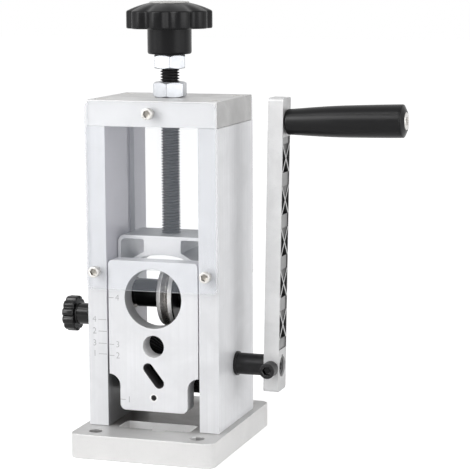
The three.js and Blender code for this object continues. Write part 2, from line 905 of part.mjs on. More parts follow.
function sliderBlock() {

	const shape = new THREE.Shape();
	const underCheek = webBottom - braceDrop( webHalf, cheekInner );
	shape.moveTo( - sliderHalf, cheekBottom );
	shape.lineTo( - cheekInner, cheekBottom );
	shape.lineTo( - cheekInner, underCheek );
	shape.lineTo( - webHalf, webBottom );
	shape.quadraticCurveTo( 0, webBottom + 2 * archRise, webHalf, webBottom );
	shape.lineTo( cheekInner, underCheek );
	shape.lineTo( cheekInner, cheekBottom );
	shape.lineTo( sliderHalf, cheekBottom );
	shape.lineTo( sliderHalf, sliderTop - sliderCorner );
	shape.absarc( sliderHalf - sliderCorner, sliderTop - sliderCorner, sliderCorner,
		0, Math.PI / 2 );
	shape.lineTo( - sliderHalf + sliderCorner, sliderTop );
	shape.absarc( - sliderHalf + sliderCorner, sliderTop - sliderCorner, sliderCorner,
		Math.PI / 2, Math.PI );
	shape.closePath();
	shape.holes.push( sliderWindow( - 1 ), sliderWindow( 1 ) );

	const side = roundedRectangle(
		sliderFront, sliderBack, cheekBottom, sliderTop + overrun, cheekCorner, 0 );
	let block = plateY( shape, sliderFront, sliderBack );
	block = block.intersect( plateX( side, - sliderHalf - overrun, sliderHalf + overrun ) );

	const tongueTop = sliderTop - tongueTopDrop;
	const tongueBottom = cheekBottom + cheekCorner;
	const tongueHalf = grooveWidth / 2 - tonguePlay;
	const tongueEnd = innerX + grooveDepth - tonguePlay;
	block = block.add( box( sliderHalf - sliderSkin, tongueEnd,
		grooveCentre - tongueHalf, grooveCentre + tongueHalf, tongueBottom, tongueTop ) );
	block = block.add( box( - tongueEnd, - sliderHalf + sliderSkin,
		grooveCentre - tongueHalf, grooveCentre + tongueHalf, tongueBottom, tongueTop ) );

	const across = sliderHalf + grooveDepth + overrun;
	const bushBore = axleBushOuter + run;
	block = block.subtract( rodX( bushBore, - across, across, 0, axleZ, mediumSides ) );
	block = block.subtract(
		rodZ( screwNeckRadius + fit, webBottom - overrun, sliderTop + overrun, 0, 0 ) );
	return block.subtract(
		rodZ( retainerRecess, webBottom - overrun, webBottom + retainerRecessDepth, 0, 0 ) );

}

const axleBushOuter = journalRadius + run + axleBushWall;

function axleBush( side ) {

	const inner = journalRadius + run;
	const near = side * cheekInner;
	const far = side * sliderHalf;
	return turningX( [
		[ inner, near ], [ axleBushOuter, near ], [ axleBushOuter, far ],
		[ inner, far ], [ inner, near ],
	], 0, axleZ, mediumSides );

}

function bladeAxle() {

	const axleHalf = cheekInner - axleShoulderPlay;
	const end = sliderHalf - axleEndGap;
	return turningX( [
		[ 0, - end ], [ journalRadius, - end ], [ journalRadius, - axleHalf ],
		[ axleRadius, - axleHalf ], [ axleRadius, axleHalf ],
		[ journalRadius, axleHalf ], [ journalRadius, end ], [ 0, end ],
	], 0, axleZ, mediumSides );

}

// Two cutting edges: each rim is ground from outside, and a hollow groove parts them
function bladeWheel() {

	const bore = axleRadius + run;
	const right = bladeLeft + bladeWidth;
	const flank = bladeRadius - bladeBevelRise;
	const middle = ( bladeLeft + right ) / 2;
	return turningX( [
		[ bore, bladeLeft ], [ flank, bladeLeft ],
		[ bladeRadius, bladeLeft + bladeBevel ],
		[ bladeRadius - bladeGroove, middle ],
		[ bladeRadius, right - bladeBevel ], [ flank, right ],
		[ bore, right ], [ bore, bladeLeft ],
	], 0, axleZ, wheelSides );

}

add( 'slider_block', sliderBlock(), 'plate' );
add( 'axle_bush_left', axleBush( - 1 ), 'bronze' );
add( 'axle_bush_right', axleBush( 1 ), 'bronze' );
add( 'blade_axle', bladeAxle(), 'blackOxide' );
add( 'blade_wheel', bladeWheel(), 'blade' );

// Adjusting screw with its knob

const screwBottom = sliderTop + fit;
const recessRoof = webBottom + retainerRecessDepth;

function adjustingScrew() {

	const neckBottom = recessRoof - fit;
	return turning( [
		[ 0, neckBottom ], [ screwNeckRadius, neckBottom ], [ screwNeckRadius, screwBottom ],
		[ screwRadius, screwBottom ], [ screwRadius, screwTop - screwChamfer ],
		[ screwRadius - screwChamfer, screwTop ], [ 0, screwTop ],
	] );

}

function screwRetainer() {

	const top = recessRoof - 2 * fit;
	const bottom = top - retainerHeight;
	const body = turning( [
		[ 0, bottom ], [ retainerRadius - fit, bottom ], [ retainerRadius, bottom + fit ],
		[ retainerRadius, top ], [ 0, top ],
	], smallSides );
	return body.subtract( hexagon( screwNeckRadius, bottom - overrun, bottom + overrun, 0 ) );

}

function handKnob() {

	const rimTop = knobRimBottom + knobRimHeight;
	const rise = knobDomeRise;
	const round = knobBossRound * roundShare;
	const across = knobRadius - knobEdge - capRadius - fit - capLip;
	const domeShares = [ [ 0.25, 0.32 ], [ 0.5, 0.6 ], [ 0.75, 0.83 ], [ 1, 1 ] ];
	const rings = [
		{ z: knobBottom, radius: knobBossRadius - knobBossRound, valley: 0 },
		{ z: knobBottom + round, radius: knobBossRadius - round, valley: 0 },
		{ z: knobBottom + knobBossRound, radius: knobBossRadius, valley: 0 },
		{ z: knobRimBottom, radius: knobBossRadius, valley: 0 },
		{ z: knobRimBottom, radius: knobRadius - knobEdge, valley: knobValley },
		{ z: knobRimBottom + knobEdge, radius: knobRadius, valley: knobValley },
		{ z: rimTop - knobEdge, radius: knobRadius, valley: knobValley },
		{ z: rimTop, radius: knobRadius - knobEdge, valley: knobValley },
		...domeShares.map( ( [ inShare, upShare ] ) => ( {
			z: rimTop + rise * upShare,
			radius: knobRadius - knobEdge - across * inShare,
			valley: knobValley * ( 1 - inShare ),
		} ) ),
	];
	const body = lobedTurning( rings, knobLobes, knobTurnShare, 6 );
	const top = rimTop + rise;
	return body
		.subtract( rodZ( screwRadius + fit, knobBottom - overrun, screwTop + fit, 0, 0 ) )
		.subtract( rodZ( capRadius + fit, top - capRecess, top + overrun, 0, 0, roundSides ) );

}

function knobCap() {

	const bottom = knobRimBottom + knobRimHeight + knobDomeRise - capRecess + seatGap;
	const top = bottom + capThickness;
	const round = capCrown;
	return turning( [
		[ 0, bottom ], [ capRadius, bottom ], [ capRadius, top - round ],
		[ capRadius - round, top ], [ 0, top + capCrown ],
	] );

}

const nutBore = screwRadius + fit;
add( 'adjusting_screw', adjustingScrew(), 'blackOxide' );
add( 'screw_retainer', screwRetainer(), 'blackOxide' );
const cornerToFront = 2 * Math.PI * knobTurnShare;
add( 'lock_nut', nut( nutFlats, nutBore, lockNutBottom, lockNutBottom + lockNutHeight,
	cornerToFront + 2 * Math.PI * nutTurnShare ), 'zinc' );
add( 'knob_nut', nut( nutFlats, nutBore, knobNutBottom, knobNutBottom + knobNutHeight,
	cornerToFront ), 'zinc' );
add( 'hand_knob', handKnob(), 'blackPlastic' );
add( 'knob_cap', knobCap(), 'greyPlastic' );

// Guide plate and its clamp

// Slot with round ends that slopes down to the right
function slopingSlot( x, z, halfRun, halfRise, radius ) {

	const angle = Math.atan2( halfRise, - halfRun );
	const hole = new THREE.Path();
	hole.absarc( x - halfRun, z + halfRise, radius, angle - Math.PI / 2, angle + Math.PI / 2 );
	hole.absarc( x + halfRun, z - halfRise, radius, angle + Math.PI / 2, angle + Math.PI * 1.5 );
	hole.closePath();
	return hole;

}

function guidePlate() {

	const top = guideBottom + guideHeight;
	const notch = guideHalf - guideFootHalf;
	const shoulder = guideBottom + guideShoulderRise;
	const shape = new THREE.Shape();
	shape.moveTo( - guideFootHalf + guideFootCorner, guideBottom );
	shape.lineTo( guideFootHalf - guideFootCorner, guideBottom );
	shape.absarc( guideFootHalf - guideFootCorner, guideBottom + guideFootCorner,
		guideFootCorner, - Math.PI / 2, 0 );
	shape.lineTo( guideFootHalf, shoulder );
	shape.absarc( guideHalf, shoulder, notch, Math.PI, Math.PI / 2, true );
	shape.lineTo( guideHalf, top - guideTopCorner );
	shape.absarc( guideHalf - guideTopCorner, top - guideTopCorner, guideTopCorner,
		0, Math.PI / 2 );
	shape.lineTo( - guideHalf + guideTopCorner, top );
	shape.absarc( - guideHalf + guideTopCorner, top - guideTopCorner, guideTopCorner,
		Math.PI / 2, Math.PI );
	shape.lineTo( - guideHalf, shoulder + notch );
	shape.absarc( - guideHalf, shoulder, notch, Math.PI / 2, 0, true );
	shape.lineTo( - guideFootHalf, guideBottom + guideFootCorner );
	shape.absarc( - guideFootHalf + guideFootCorner, guideBottom + guideFootCorner,
		guideFootCorner, Math.PI, Math.PI * 1.5 );
	shape.holes.push(
		slopingSlot( 0, guideBottom + slotRise, slotHalfRun, slotHalfRise, slotRadius ) );
	let plate = plateY( shape, guideFront, guideBack );
	for ( const { radius, rise, sides } of [ largeHole, mediumHole, smallHole ] ) {

		plate = plate.subtract( rodY( radius, guideFront - overrun, guideBack + overrun,
			0, guideBottom + rise, sides ) );

	}

	return plate;

}

add( 'guide_plate', guidePlate(), 'plate' );

// The clamp knob is drawn about Z and laid along -X, with its boss towards the frame
const clampBossFace = outerX + fit;
const clampStudTip = guideHalf + clampTipGap;

function clampKnob() {

	const rimLow = clampBossLength;
	const rimHigh = rimLow + clampKnobHeight;
	const edge = clampKnobEdge;
	const domeShares = [ [ 0.4, 0.65 ], [ 0.75, 1 ] ];
	const across = clampKnobRadius - edge;
	const rings = [
		{ z: 0, radius: clampBossRadius, valley: 0 },
		{ z: rimLow, radius: clampBossRadius, valley: 0 },
		{ z: rimLow, radius: clampKnobRadius - edge, valley: clampKnobValley },
		{ z: rimLow + edge, radius: clampKnobRadius, valley: clampKnobValley },
		{ z: rimHigh - edge, radius: clampKnobRadius, valley: clampKnobValley },
		{ z: rimHigh, radius: clampKnobRadius - edge, valley: clampKnobValley },
		...domeShares.map( ( [ inShare, upShare ] ) => ( {
			z: rimHigh + clampKnobDome * upShare,
			radius: clampKnobRadius - edge - across * inShare,
			valley: clampKnobValley * ( 1 - inShare ),
		} ) ),
	];
	const body = lobedTurning( rings, clampLobes, clampTurnShare, 4 );
	const bored = body.subtract(
		rodZ( clampStudRadius + fit, - overrun, clampStudInKnob + fit, 0, 0 ) );
	return placed( bored, minusX, - clampBossFace, guideMiddle, clampZ );

}

add( 'clamp_knob', clampKnob(), 'glossPlastic' );
add( 'clamp_stud', rodX( clampStudRadius, - clampBossFace - clampStudInKnob, - clampStudTip,
	guideMiddle, clampZ ), 'blackOxide' );

// Crank. Its own frame has the shaft's axis at x = z = 0 on the arm's left face, with the
// arm standing along +Z, and it leans outwards as a whole.

const crank = new THREE.Group();
crank.position.set( armLeft, 0, shaftZ );
crank.rotation.y = armLean;
root.add( crank );

const armHalf = armWidth / 2;
const armMiddle = armThickness / 2;
const recessFloor = armThickness - armRecess;
const boltTilt = - armLean - gripTilt;

// A rod about the handle's own axis, in the crank's frame
function rodOnGripAxis( radius, low, high ) {

	const geometry = new THREE.CylinderGeometry( radius, radius, high - low, smallSides );
	geometry.rotateZ( - Math.PI / 2 );
	geometry.translate( ( low + high ) / 2, 0, 0 );
	geometry.rotateY( boltTilt );
	geometry.translate( armThickness, 0, crankRadius );
	return solidOf( geometry );

}

// What stands in a cell: two ribs crossed from corner to corner, flush with the arm's face,
// and the web between their upper arms, level with the floor of the recess
function crossedRibs( middleZ, halfY ) {

	const halfZ = cellHeight / 2;
	const length = 2 * Math.hypot( halfY, halfZ );
	const angle = Math.atan2( halfZ, halfY );
	const ribs = [ angle, - angle ].map( ( turn ) => {

		const geometry = new THREE.BoxGeometry( armThickness, length, ribWidth );
		geometry.translate( armMiddle, 0, 0 );
		geometry.rotateX( turn );
		geometry.translate( 0, 0, middleZ );
		return solidOf( geometry );

	} );
	const web = plateX( new THREE.Shape( [
		new THREE.Vector2( 0, middleZ ),
		new THREE.Vector2( halfY, middleZ + halfZ ),
		new THREE.Vector2( - halfY, middleZ + halfZ ),
	] ), 0, recessFloor );
	return ribs[ 0 ].add( ribs[ 1 ] ).add( web );

}

function crankArm() {

	const armAbove = crankRadius + armBeyondBolt;
	const outline = roundedRectangle(
		- armHalf, armHalf, - armBelow, armAbove, armCorner, armCorner );
	let arm = plateX( outline, 0, armThickness );

	const halfY = armHalf - armRim;
	const beyond = armThickness + overrun;
	let recess = box( recessFloor, beyond, - halfY, halfY,
		armRecessAboveShaft, crankRadius - armRecessBelowBolt );

	const cellFloor = armThickness - cellDepth;
	const cellPitch = ( crankRadius - cellFirst - cellBeforeBolt ) / ( cellCount - 1 );
	for ( let i = 0; i < cellCount; i ++ ) {

		const middle = cellFirst + i * cellPitch;
		const cell = box( cellFloor, beyond, - halfY, halfY,
			middle - cellHeight / 2, middle + cellHeight / 2 );
		const within = box( 0, armThickness, - halfY, halfY,
			middle - cellHeight / 2, middle + cellHeight / 2 );
		recess = recess.add( cell ).subtract( crossedRibs( middle, halfY ).intersect( within ) );

	}

	arm = arm.subtract( recess );

	const shaftBore = rodX( crankJournal + fit, - overrun, beyond, 0, 0, roundSides );
	const keyHalf = crankKeySide / 2 + fit;
	const keyTop = crankJournal + crankKeySide / 2 + fit;
	const keyway = box( - overrun, beyond, - keyHalf, keyHalf, 0, keyTop );
	const screwHole = rodY( clampScrew.shank + fit, - armHalf - overrun, 0, armMiddle, 0 );
	const boltHole = rodOnGripAxis( boltRadius + fit, - armThickness - overrun, overrun );
	return arm.subtract( shaftBore ).subtract( keyway ).subtract( screwHole ).subtract( boltHole );

}

function crankClampScrew() {

	const length = armHalf - crankJournal - fit;
	const screw = socketScrew( { ...clampScrew, length } );
	return placed( screw, minusY, armMiddle, - armHalf - seatGap, 0 );

}

const crankKeyBottom = crankJournal - crankKeySide / 2;
const crankKeyEnd = armThickness - crankEndInset - fit;
const crankKey = box( crankKeyEnd - crankKeyLength + fit, crankKeyEnd,
	- crankKeySide / 2, crankKeySide / 2, crankKeyBottom, crankKeyBottom + crankKeySide );

add( 'crank_arm', crankArm(), 'cast', crank );
add( 'crank_clamp_screw', crankClampScrew(), 'blackOxide', crank );
add( 'crank_key', crankKey, 'blackOxide', crank );

// Handle, in a frame of its own on the arm's right face, with +X along the grip

const handle = new THREE.Group();
handle.position.set( armThickness, 0, crankRadius );
handle.rotation.y = boltTilt;
crank.add( handle );

// The bolt's head is sunk in the grip's end, and its face stands a little proud of it
const boltSeat = gripGap + gripLength + boltProud - boltHeadHeight;
const gripEndRadius = boltHead + fit + gripEndRim;

// The grip swells from its waist at the arm to its full radius, in shares of its length
function gripCurve() {

	const shares = [ [ 0.025, 0 ], [ 0.115, 0.2 ], [ 0.24, 0.47 ], [ 0.41, 0.755 ],
		[ 0.6, 0.89 ], [ 0.9, 1 ] ];
	const points = shares.map( ( [ along, out ] ) => new THREE.Vector2(
		gripWaist + ( gripRadius - gripWaist ) * out, gripGap + gripLength * along ) );
	return new THREE.SplineCurve( points ).getPoints( gripSteps );

}

function handleGrip() {

	const start = gripGap;
	const end = gripGap + gripLength;
	const bore = boltRadius + fit;
	const round = gripRound * roundShare;
	const profile = [
		[ bore, start ], [ gripWaist - gripRound, start ],
		[ gripWaist - round, start + round ],
		...gripCurve().map( ( point ) => [ point.x, point.y ] ),
		[ gripRadius, end - gripEndLength ], [ gripEndRadius, end ],
		[ boltHead + fit, end ], [ boltHead + fit, boltSeat - fit ],
		[ bore, boltSeat - fit ], [ bore, start ],
	];
	return turningX( profile, 0, 0 );

}

function handleBolt() {

	const top = boltSeat + boltHeadHeight;
	const body = turningX( [
		[ 0, - armThickness + boltEndInset ], [ boltRadius, - armThickness + boltEndInset ],
		[ boltRadius, boltSeat ], [ boltHead, boltSeat ], [ boltHead, top - boltCrown ],
		[ boltHead - boltCrown, top ], [ 0, top ],
	], 0, 0, smallSides );
	const socket = placed( hexagon( 2 * boltSocket * Math.cos( Math.PI / 6 ),
		top - boltSocketDepth, top + overrun, 0 ), unitX, 0, 0, 0 );
	return body.subtract( socket );

}

add( 'handle_grip', handleGrip(), 'blackPlastic', handle );
add( 'handle_bolt', handleBolt(), 'stainless', handle );

export default root;
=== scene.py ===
"""Hand crank wire stripper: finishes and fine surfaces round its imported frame.

Everything is placed in the frame's own coordinates: +X towards the crank, +Y to the back, +Z up.
Sizes in this file are in millimetres and become metres when a mesh is made.
"""

import json
import math

import bmesh
import bpy
import numpy as np
from bpy.props import FloatProperty, FloatVectorProperty, IntProperty, PointerProperty
from mathutils import Matrix, Vector


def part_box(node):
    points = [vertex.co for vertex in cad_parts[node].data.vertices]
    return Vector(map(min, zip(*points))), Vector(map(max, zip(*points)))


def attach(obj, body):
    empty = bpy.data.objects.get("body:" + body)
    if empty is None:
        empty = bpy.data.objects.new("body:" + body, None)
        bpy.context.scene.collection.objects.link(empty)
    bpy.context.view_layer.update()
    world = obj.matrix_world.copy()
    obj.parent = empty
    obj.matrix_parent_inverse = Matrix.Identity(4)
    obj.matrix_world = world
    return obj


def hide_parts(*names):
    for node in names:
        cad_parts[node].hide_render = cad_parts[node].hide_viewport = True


bl_info = {
    "name": "Hand Crank Wire Stripper",
    "version": (1, 0, 0),
    "blender": (4, 5, 0),
    "location": "3D View > Sidebar > Stripper",
    "description": "Fine surfaces, finishes and stage for a bench wire stripper",
    "category": "Object",
}

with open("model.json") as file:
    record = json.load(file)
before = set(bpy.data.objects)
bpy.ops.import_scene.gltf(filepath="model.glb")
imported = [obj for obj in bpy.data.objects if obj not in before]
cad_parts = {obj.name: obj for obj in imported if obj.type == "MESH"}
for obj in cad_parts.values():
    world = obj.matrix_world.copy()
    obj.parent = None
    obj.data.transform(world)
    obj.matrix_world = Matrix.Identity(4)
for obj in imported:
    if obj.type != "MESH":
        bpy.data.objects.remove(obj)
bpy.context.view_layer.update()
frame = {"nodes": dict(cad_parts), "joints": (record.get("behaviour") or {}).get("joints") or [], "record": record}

MM = 0.001
NODES = frame["nodes"]
BODY_OF = {
    node: body
    for body, members in frame["record"]["behaviour"]["bodies"].items()
    for node in members
}
HANDLE_JOINT = next(joint for joint in frame["joints"] if joint["name"] == "handle_spin")


def low(node):
    """Lowest corner of a node's box, in millimetres."""
    return np.array(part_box(node)[0]) / MM


def high(node):
    """Highest corner of a node's box, in millimetres."""
    return np.array(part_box(node)[1]) / MM


def middle(node):
    """Centre of a node's box, in millimetres."""
    return (low(node) + high(node)) / 2


def span(node):
    """Size of a node's box along X, Y and Z, in millimetres."""
    return high(node) - low(node)


# Places and directions that are read from the frame or shared

SHAFT = middle("feed_roller")
AXLE = middle("blade_axle")
HANDLE_ORIGIN = np.array(HANDLE_JOINT["pos_m"]) / MM
HANDLE_AXIS = np.array(HANDLE_JOINT["axis"])
ARM_LEAN = math.radians(1.1)
KNOB_TURN = math.radians(-70)
TO_FRONT, TO_BACK, TO_LEFT, UP, DOWN = (0, -1, 0), (0, 1, 0), (-1, 0, 0), (0, 0, 1), (0, 0, -1)


# Settings that a user would change


class StripperShapes(bpy.types.PropertyGroup):
    """Sizes of the fine surfaces."""

    thread_pitch: FloatProperty(
        name="Thread pitch", description="Rise of the adjusting screw in one turn, in millimetres",
        default=1.75, min=0.5, max=4)
    thread_depth: FloatProperty(
        name="Thread depth", description="Depth of the adjusting screw's thread, in millimetres",
        default=1.4, min=0.2, max=2)
    roller_teeth: IntProperty(
        name="Roller teeth", description="Number of teeth round the feed roller",
        default=52, min=12, max=120)
    roller_tooth_depth: FloatProperty(
        name="Roller tooth depth", description="Depth of the feed roller's teeth, in millimetres",
        default=0.9, min=0.1, max=2)
    knob_lobes: IntProperty(
        name="Knob lobes", description="Number of lobes round the top knob", default=10, min=3, max=24)
    clamp_lobes: IntProperty(
        name="Clamp knob lobes", description="Number of lobes round the side knob",
        default=11, min=3, max=24)
    plate_edge: FloatProperty(
        name="Plate edge", description="Broken edge of the machined plates, in millimetres",
        default=0.35, min=0.05, max=1)


class StripperFinishes(bpy.types.PropertyGroup):
    """Colours of the finishes, as linear values."""

    plate: FloatVectorProperty(
        name="Extruded aluminium", description="Colour of the side plates, slider and guide plate",
        subtype="COLOR", size=3, default=(0.80, 0.805, 0.825), min=0, max=1)
    satin: FloatVectorProperty(
        name="Satin aluminium", description="Colour of the base and the top plate",
        subtype="COLOR", size=3, default=(0.76, 0.755, 0.75), min=0, max=1)
    cast: FloatVectorProperty(
        name="Cast aluminium", description="Colour of the crank arm",
        subtype="COLOR", size=3, default=(0.80, 0.80, 0.805), min=0, max=1)
    oxide: FloatVectorProperty(
        name="Black oxide", description="Colour of the shaft, screw and roller",
        subtype="COLOR", size=3, default=(0.012, 0.012, 0.013), min=0, max=1)
    steel: FloatVectorProperty(
        name="Tool steel", description="Colour of the cutter's ground bevels",
        subtype="COLOR", size=3, default=(0.72, 0.71, 0.70), min=0, max=1)
    plastic: FloatVectorProperty(
        name="Black plastic", description="Colour of the top knob and the grip",
        subtype="COLOR", size=3, default=(0.0035, 0.0035, 0.0042), min=0, max=1)


class StripperStage(bpy.types.PropertyGroup):
    """Lamps and background."""

    key: FloatProperty(
        name="Key lamp", description="Power of the tall lamp at the front left, in watts",
        default=12.6, min=0, max=200)
    fill: FloatProperty(
        name="Fill lamp", description="Power of the tall lamp at the right, in watts",
        default=10.2, min=0, max=200)
    top: FloatProperty(
        name="Top lamp", description="Power of the long lamp over the front, in watts",
        default=2.8, min=0, max=200)
    sky: FloatProperty(
        name="Sky", description="Strength of the even light from all round", default=0.33, min=0, max=2)
    cards: FloatProperty(
        name="Cards", description="Brightness of the white cards that only reflections show",
        default=1.3, min=0, max=5)


# Surfaces as grids of places, in rows and columns


def eased_outline(corners, steps=5):
    """Outline from [u, v, round] corners.

    A corner with a round is replaced by the curve (1-t)^2 A + 2t(1-t) C + t^2 B, where C is the
    corner and A and B lie on its two sides at the round's distance.
    """
    corners = [np.array(corner, float) for corner in corners]
    places = []
    for i, corner in enumerate(corners):
        place, size = corner[:2], corner[2] if len(corner) > 2 else 0
        if size == 0 or i in (0, len(corners) - 1):
            places.append(place[None])
            continue
        back, ahead = corners[i - 1][:2] - place, corners[i + 1][:2] - place
        start = place + back * min(1, size / np.linalg.norm(back))
        end = place + ahead * min(1, size / np.linalg.norm(ahead))
        t = np.linspace(0, 1, steps)[:, None]
        places.append((1 - t) ** 2 * start + 2 * t * (1 - t) * place + t ** 2 * end)
    return np.vstack(places)


def smooth_through(knots, values, places):
    """Piecewise cubic through the knots, with each knot's slope the mean of its two sides."""
    steps = np.diff(values) / np.diff(knots)
    slopes = np.concatenate([steps[:1], (steps[1:] + steps[:-1]) / 2, [0.0]])
    part = np.clip(np.searchsorted(knots, places, side="right") - 1, 0, len(knots) - 2)
    width = np.diff(knots)[part]
    t = (places - knots[part]) / width
    return ((1 + 2 * t) * (1 - t) ** 2 * values[part] + t * (1 - t) ** 2 * width * slopes[part]
            + t ** 2 * (3 - 2 * t) * values[part + 1] - t ** 2 * (1 - t) * width * slopes[part + 1])


def full_circle(sides):
    """Angles of a full circle in even steps."""
    return np.linspace(0, 2 * np.pi, sides, endpoint=False)


def polar(radius, angle, height):
    """Places about Z: radius times cosine and sine of the angle, and the height."""
    return np.stack(np.broadcast_arrays(
        radius * np.cos(angle), radius * np.sin(angle), height), axis=-1)


def turned(outline, sides=96):
    """Turned surface about Z: each [radius, height] point of the outline goes round a full circle."""
    return polar(outline[:, :1], full_circle(sides), outline[:, 1:2])


def hexagonal(flats, angle):
    """Distance from the axis to a hexagon's side: half the flats over the cosine of the angle to
    the nearest flat's middle."""
    folded = (angle + np.pi / 6) % (np.pi / 3) - np.pi / 6
    return flats / 2 / np.cos(folded)


def lobed(outline, lobes, steps, start, power=2.0):
    """Lobed knob about Z from [radius, height, valley depth] rows.

    The radius falls by the valley's depth times (half plus half the cosine of the angle within
    the lobe), raised to a power that keeps the valleys narrow.
    """
    angle = full_circle(lobes * steps)
    dip = (0.5 + 0.5 * np.cos(lobes * angle)) ** power
    return polar(outline[:, :1] - outline[:, 2:3] * dip, angle + start, outline[:, 1:2])


def laid(places, direction, origin):
    """The same places with their own Z turned to a direction, and moved to an origin."""
    turn = Vector(UP).rotation_difference(Vector(direction)).to_matrix()
    return places @ np.array(turn).T + np.array(origin, float)


def along_x(places, axis):
    """Places drawn about Z, laid so that their height runs along X on the axis."""
    return np.stack([places[..., 2], -places[..., 1] + axis[1], places[..., 0] + axis[2]], axis=-1)


# Meshes and pieces

NODE_MERGE, SEAM_MERGE, SLIVER = 0.002 * MM, 0.0005 * MM, 0.0004 * MM
FLAT_ANGLE = math.radians(0.6)


def grid_faces(rows, columns, closed):
    """Quads between neighbouring rows and columns of a grid, whose last column may meet the first."""
    index = np.arange(rows * columns).reshape(rows, columns)
    here, beside = (index, np.roll(index, -1, axis=1)) if closed else (index[:, :-1], index[:, 1:])
    return np.stack([here[:-1], beside[:-1], beside[1:], here[1:]], axis=-1).reshape(-1, 4)


def enclosed_volume(places, faces):
    """Signed volume: the sum over the triangles of a . (b x c) / 6."""
    a, b, c, d = (places[faces[:, i]] for i in range(4))
    return (np.einsum("ij,ij->i", a, np.cross(b, c)) + np.einsum("ij,ij->i", a, np.cross(c, d))).sum() / 6


def coat(mesh, finishes, sharp):
    """Finishes and smooth shading, with the edges that turn by more than sharp degrees left crisp."""
    for name in finishes:
        mesh.materials.append(finish(name))
    mesh.polygons.foreach_set("use_smooth", np.ones(len(mesh.polygons), bool))
    mesh.set_sharp_from_angle(angle=math.radians(sharp))


def mesh_from(name, grid, finishes, bands=None, sharp=30, closed=True):
    """Mesh of a grid. Poles and seams are merged, and faces are turned outwards.

    bands gives the finish's number for each row of faces.
    """
    places, faces = grid.reshape(-1, 3) * MM, grid_faces(*grid.shape[:2], closed)
    if enclosed_volume(places, faces) < 0:
        faces = faces[:, ::-1]
    mesh = bpy.data.meshes.new(name)
    mesh.from_pydata(places.tolist(), [], faces.tolist())
    if bands is not None:
        numbers = np.repeat(np.array(bands, np.int32), len(faces) // (len(grid) - 1))
        mesh.polygons.foreach_set("material_index", numbers)
    build = bmesh.new()
    build.from_mesh(mesh)
    bmesh.ops.remove_doubles(build, verts=build.verts, dist=SEAM_MERGE)
    bmesh.ops.dissolve_degenerate(build, edges=build.edges, dist=SLIVER)
    build.to_mesh(mesh)
    build.free()
    coat(mesh, finishes, sharp)
    return mesh


def piece(mesh, node=None, body=None):
    """Object that rides with a body, or with the body of the node that it stands for."""
    made = bpy.data.objects.new(mesh.name, mesh)
    bpy.context.scene.collection.objects.link(made)
    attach(made, body or BODY_OF[node])
    if node:
        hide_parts(node)
    return made


def skin(node, suffix, grid, *finishes, **shape):
    """Piece made of a grid in place of a node."""
    return piece(mesh_from(f"{node}_{suffix}", grid, finishes, **shape), node)


def node_copy(node, suffix, rule, finishes, sharp, joined):
    """Copy of a node, whose loose triangles are merged, with its finishes picked by a rule.

    The rule gets the faces' centres in millimetres and their normals, as arrays, and gives each
    face's finish as a number. Where joined, flat faces become one.
    """
    build = bmesh.new()
    build.from_mesh(NODES[node].data)
    bmesh.ops.remove_doubles(build, verts=build.verts, dist=NODE_MERGE)
    mesh = bpy.data.meshes.new(f"{node}_{suffix}")
    if joined:
        bmesh.ops.dissolve_limit(
            build, angle_limit=FLAT_ANGLE, verts=build.verts, edges=build.edges)
        build.verts.index_update()
        faces = [[vertex.index for vertex in face.verts] for face in build.faces]
        mesh.from_pydata([tuple(vertex.co) for vertex in build.verts], [], faces)
    else:
        build.to_mesh(mesh)
    build.free()
    count = len(mesh.polygons)
    centres, normals = np.zeros(count * 3), np.zeros(count * 3)
    mesh.polygons.foreach_get("center", centres)
    mesh.polygons.foreach_get("normal", normals)
    picked = rule(centres.reshape(-1, 3) / MM, normals.reshape(-1, 3))
    mesh.polygons.foreach_set("material_index", picked.astype(np.int32))
    coat(mesh, finishes, sharp)
    return piece(mesh, node)


def eased_copy(node, width, rule, *finishes, suffix="eased", segments=2):
    """Copy of a plate whose edges are broken: a bevel rounds each edge over the sharp angle."""
    sharp = 32
    bevel = node_copy(node, suffix, rule, finishes, sharp, True).modifiers.new("broken edges", "BEVEL")
    bevel.width = width * MM
    bevel.segments = segments
    bevel.limit_method = "ANGLE"
    bevel.angle_limit = math.radians(sharp)
    bevel.use_clamp_overlap = False
    bevel.harden_normals = True


# Shader nodes


def plug(tree, value, target):
    """Links a socket, or a node's first output, to an input, and sets any other value on it."""
    if isinstance(value, bpy.types.Node):
        value = value.outputs[0]
    if isinstance(value, bpy.types.NodeSocket):
        tree.links.new(value, target)
    else:
        target.default_value = value


def add_node(tree, kind, *given, **values):
    """Adds a shader node. given fills its inputs in order, and values its attributes or, where the
    name is no attribute, its inputs by name."""
    made = tree.nodes.new("ShaderNode" + kind)
    for name, value in values.items():
        if hasattr(made, name):
            setattr(made, name, value)
        else:
            plug(tree, value, made.inputs[name.replace("_", " ")])
    for target, value in zip(made.inputs, given):
        plug(tree, value, target)
    return made


def maths(tree, operation, *given, **values):
    """Math node on the values in order."""
    return add_node(tree, "Math", *given, operation=operation, **values)


def vector_maths(tree, operation, *given):
    """Vector Math node on the values in order."""
    return add_node(tree, "VectorMath", *given, operation=operation)


def spread(tree, value, *ranges, **values):
    """The value drawn from one range to another, which is 0 to 1 where none is given."""
    return add_node(tree, "MapRange", value, *ranges, **values)


def object_place(tree):
    """Object coordinates."""
    return add_node(tree, "TexCoord").outputs["Object"]


def mixed(tree, share, first, second):
    """Colour between two colours or sockets, by a share that is a socket."""
    made = add_node(tree, "Mix", data_type="RGBA", Factor=share)
    for label, value in (("A", first), ("B", second)):
        plug(tree, (*value, 1) if isinstance(value, tuple) else value, made.inputs[label])
    return made.outputs["Result"]


# Shader effects, each a node group that is built once


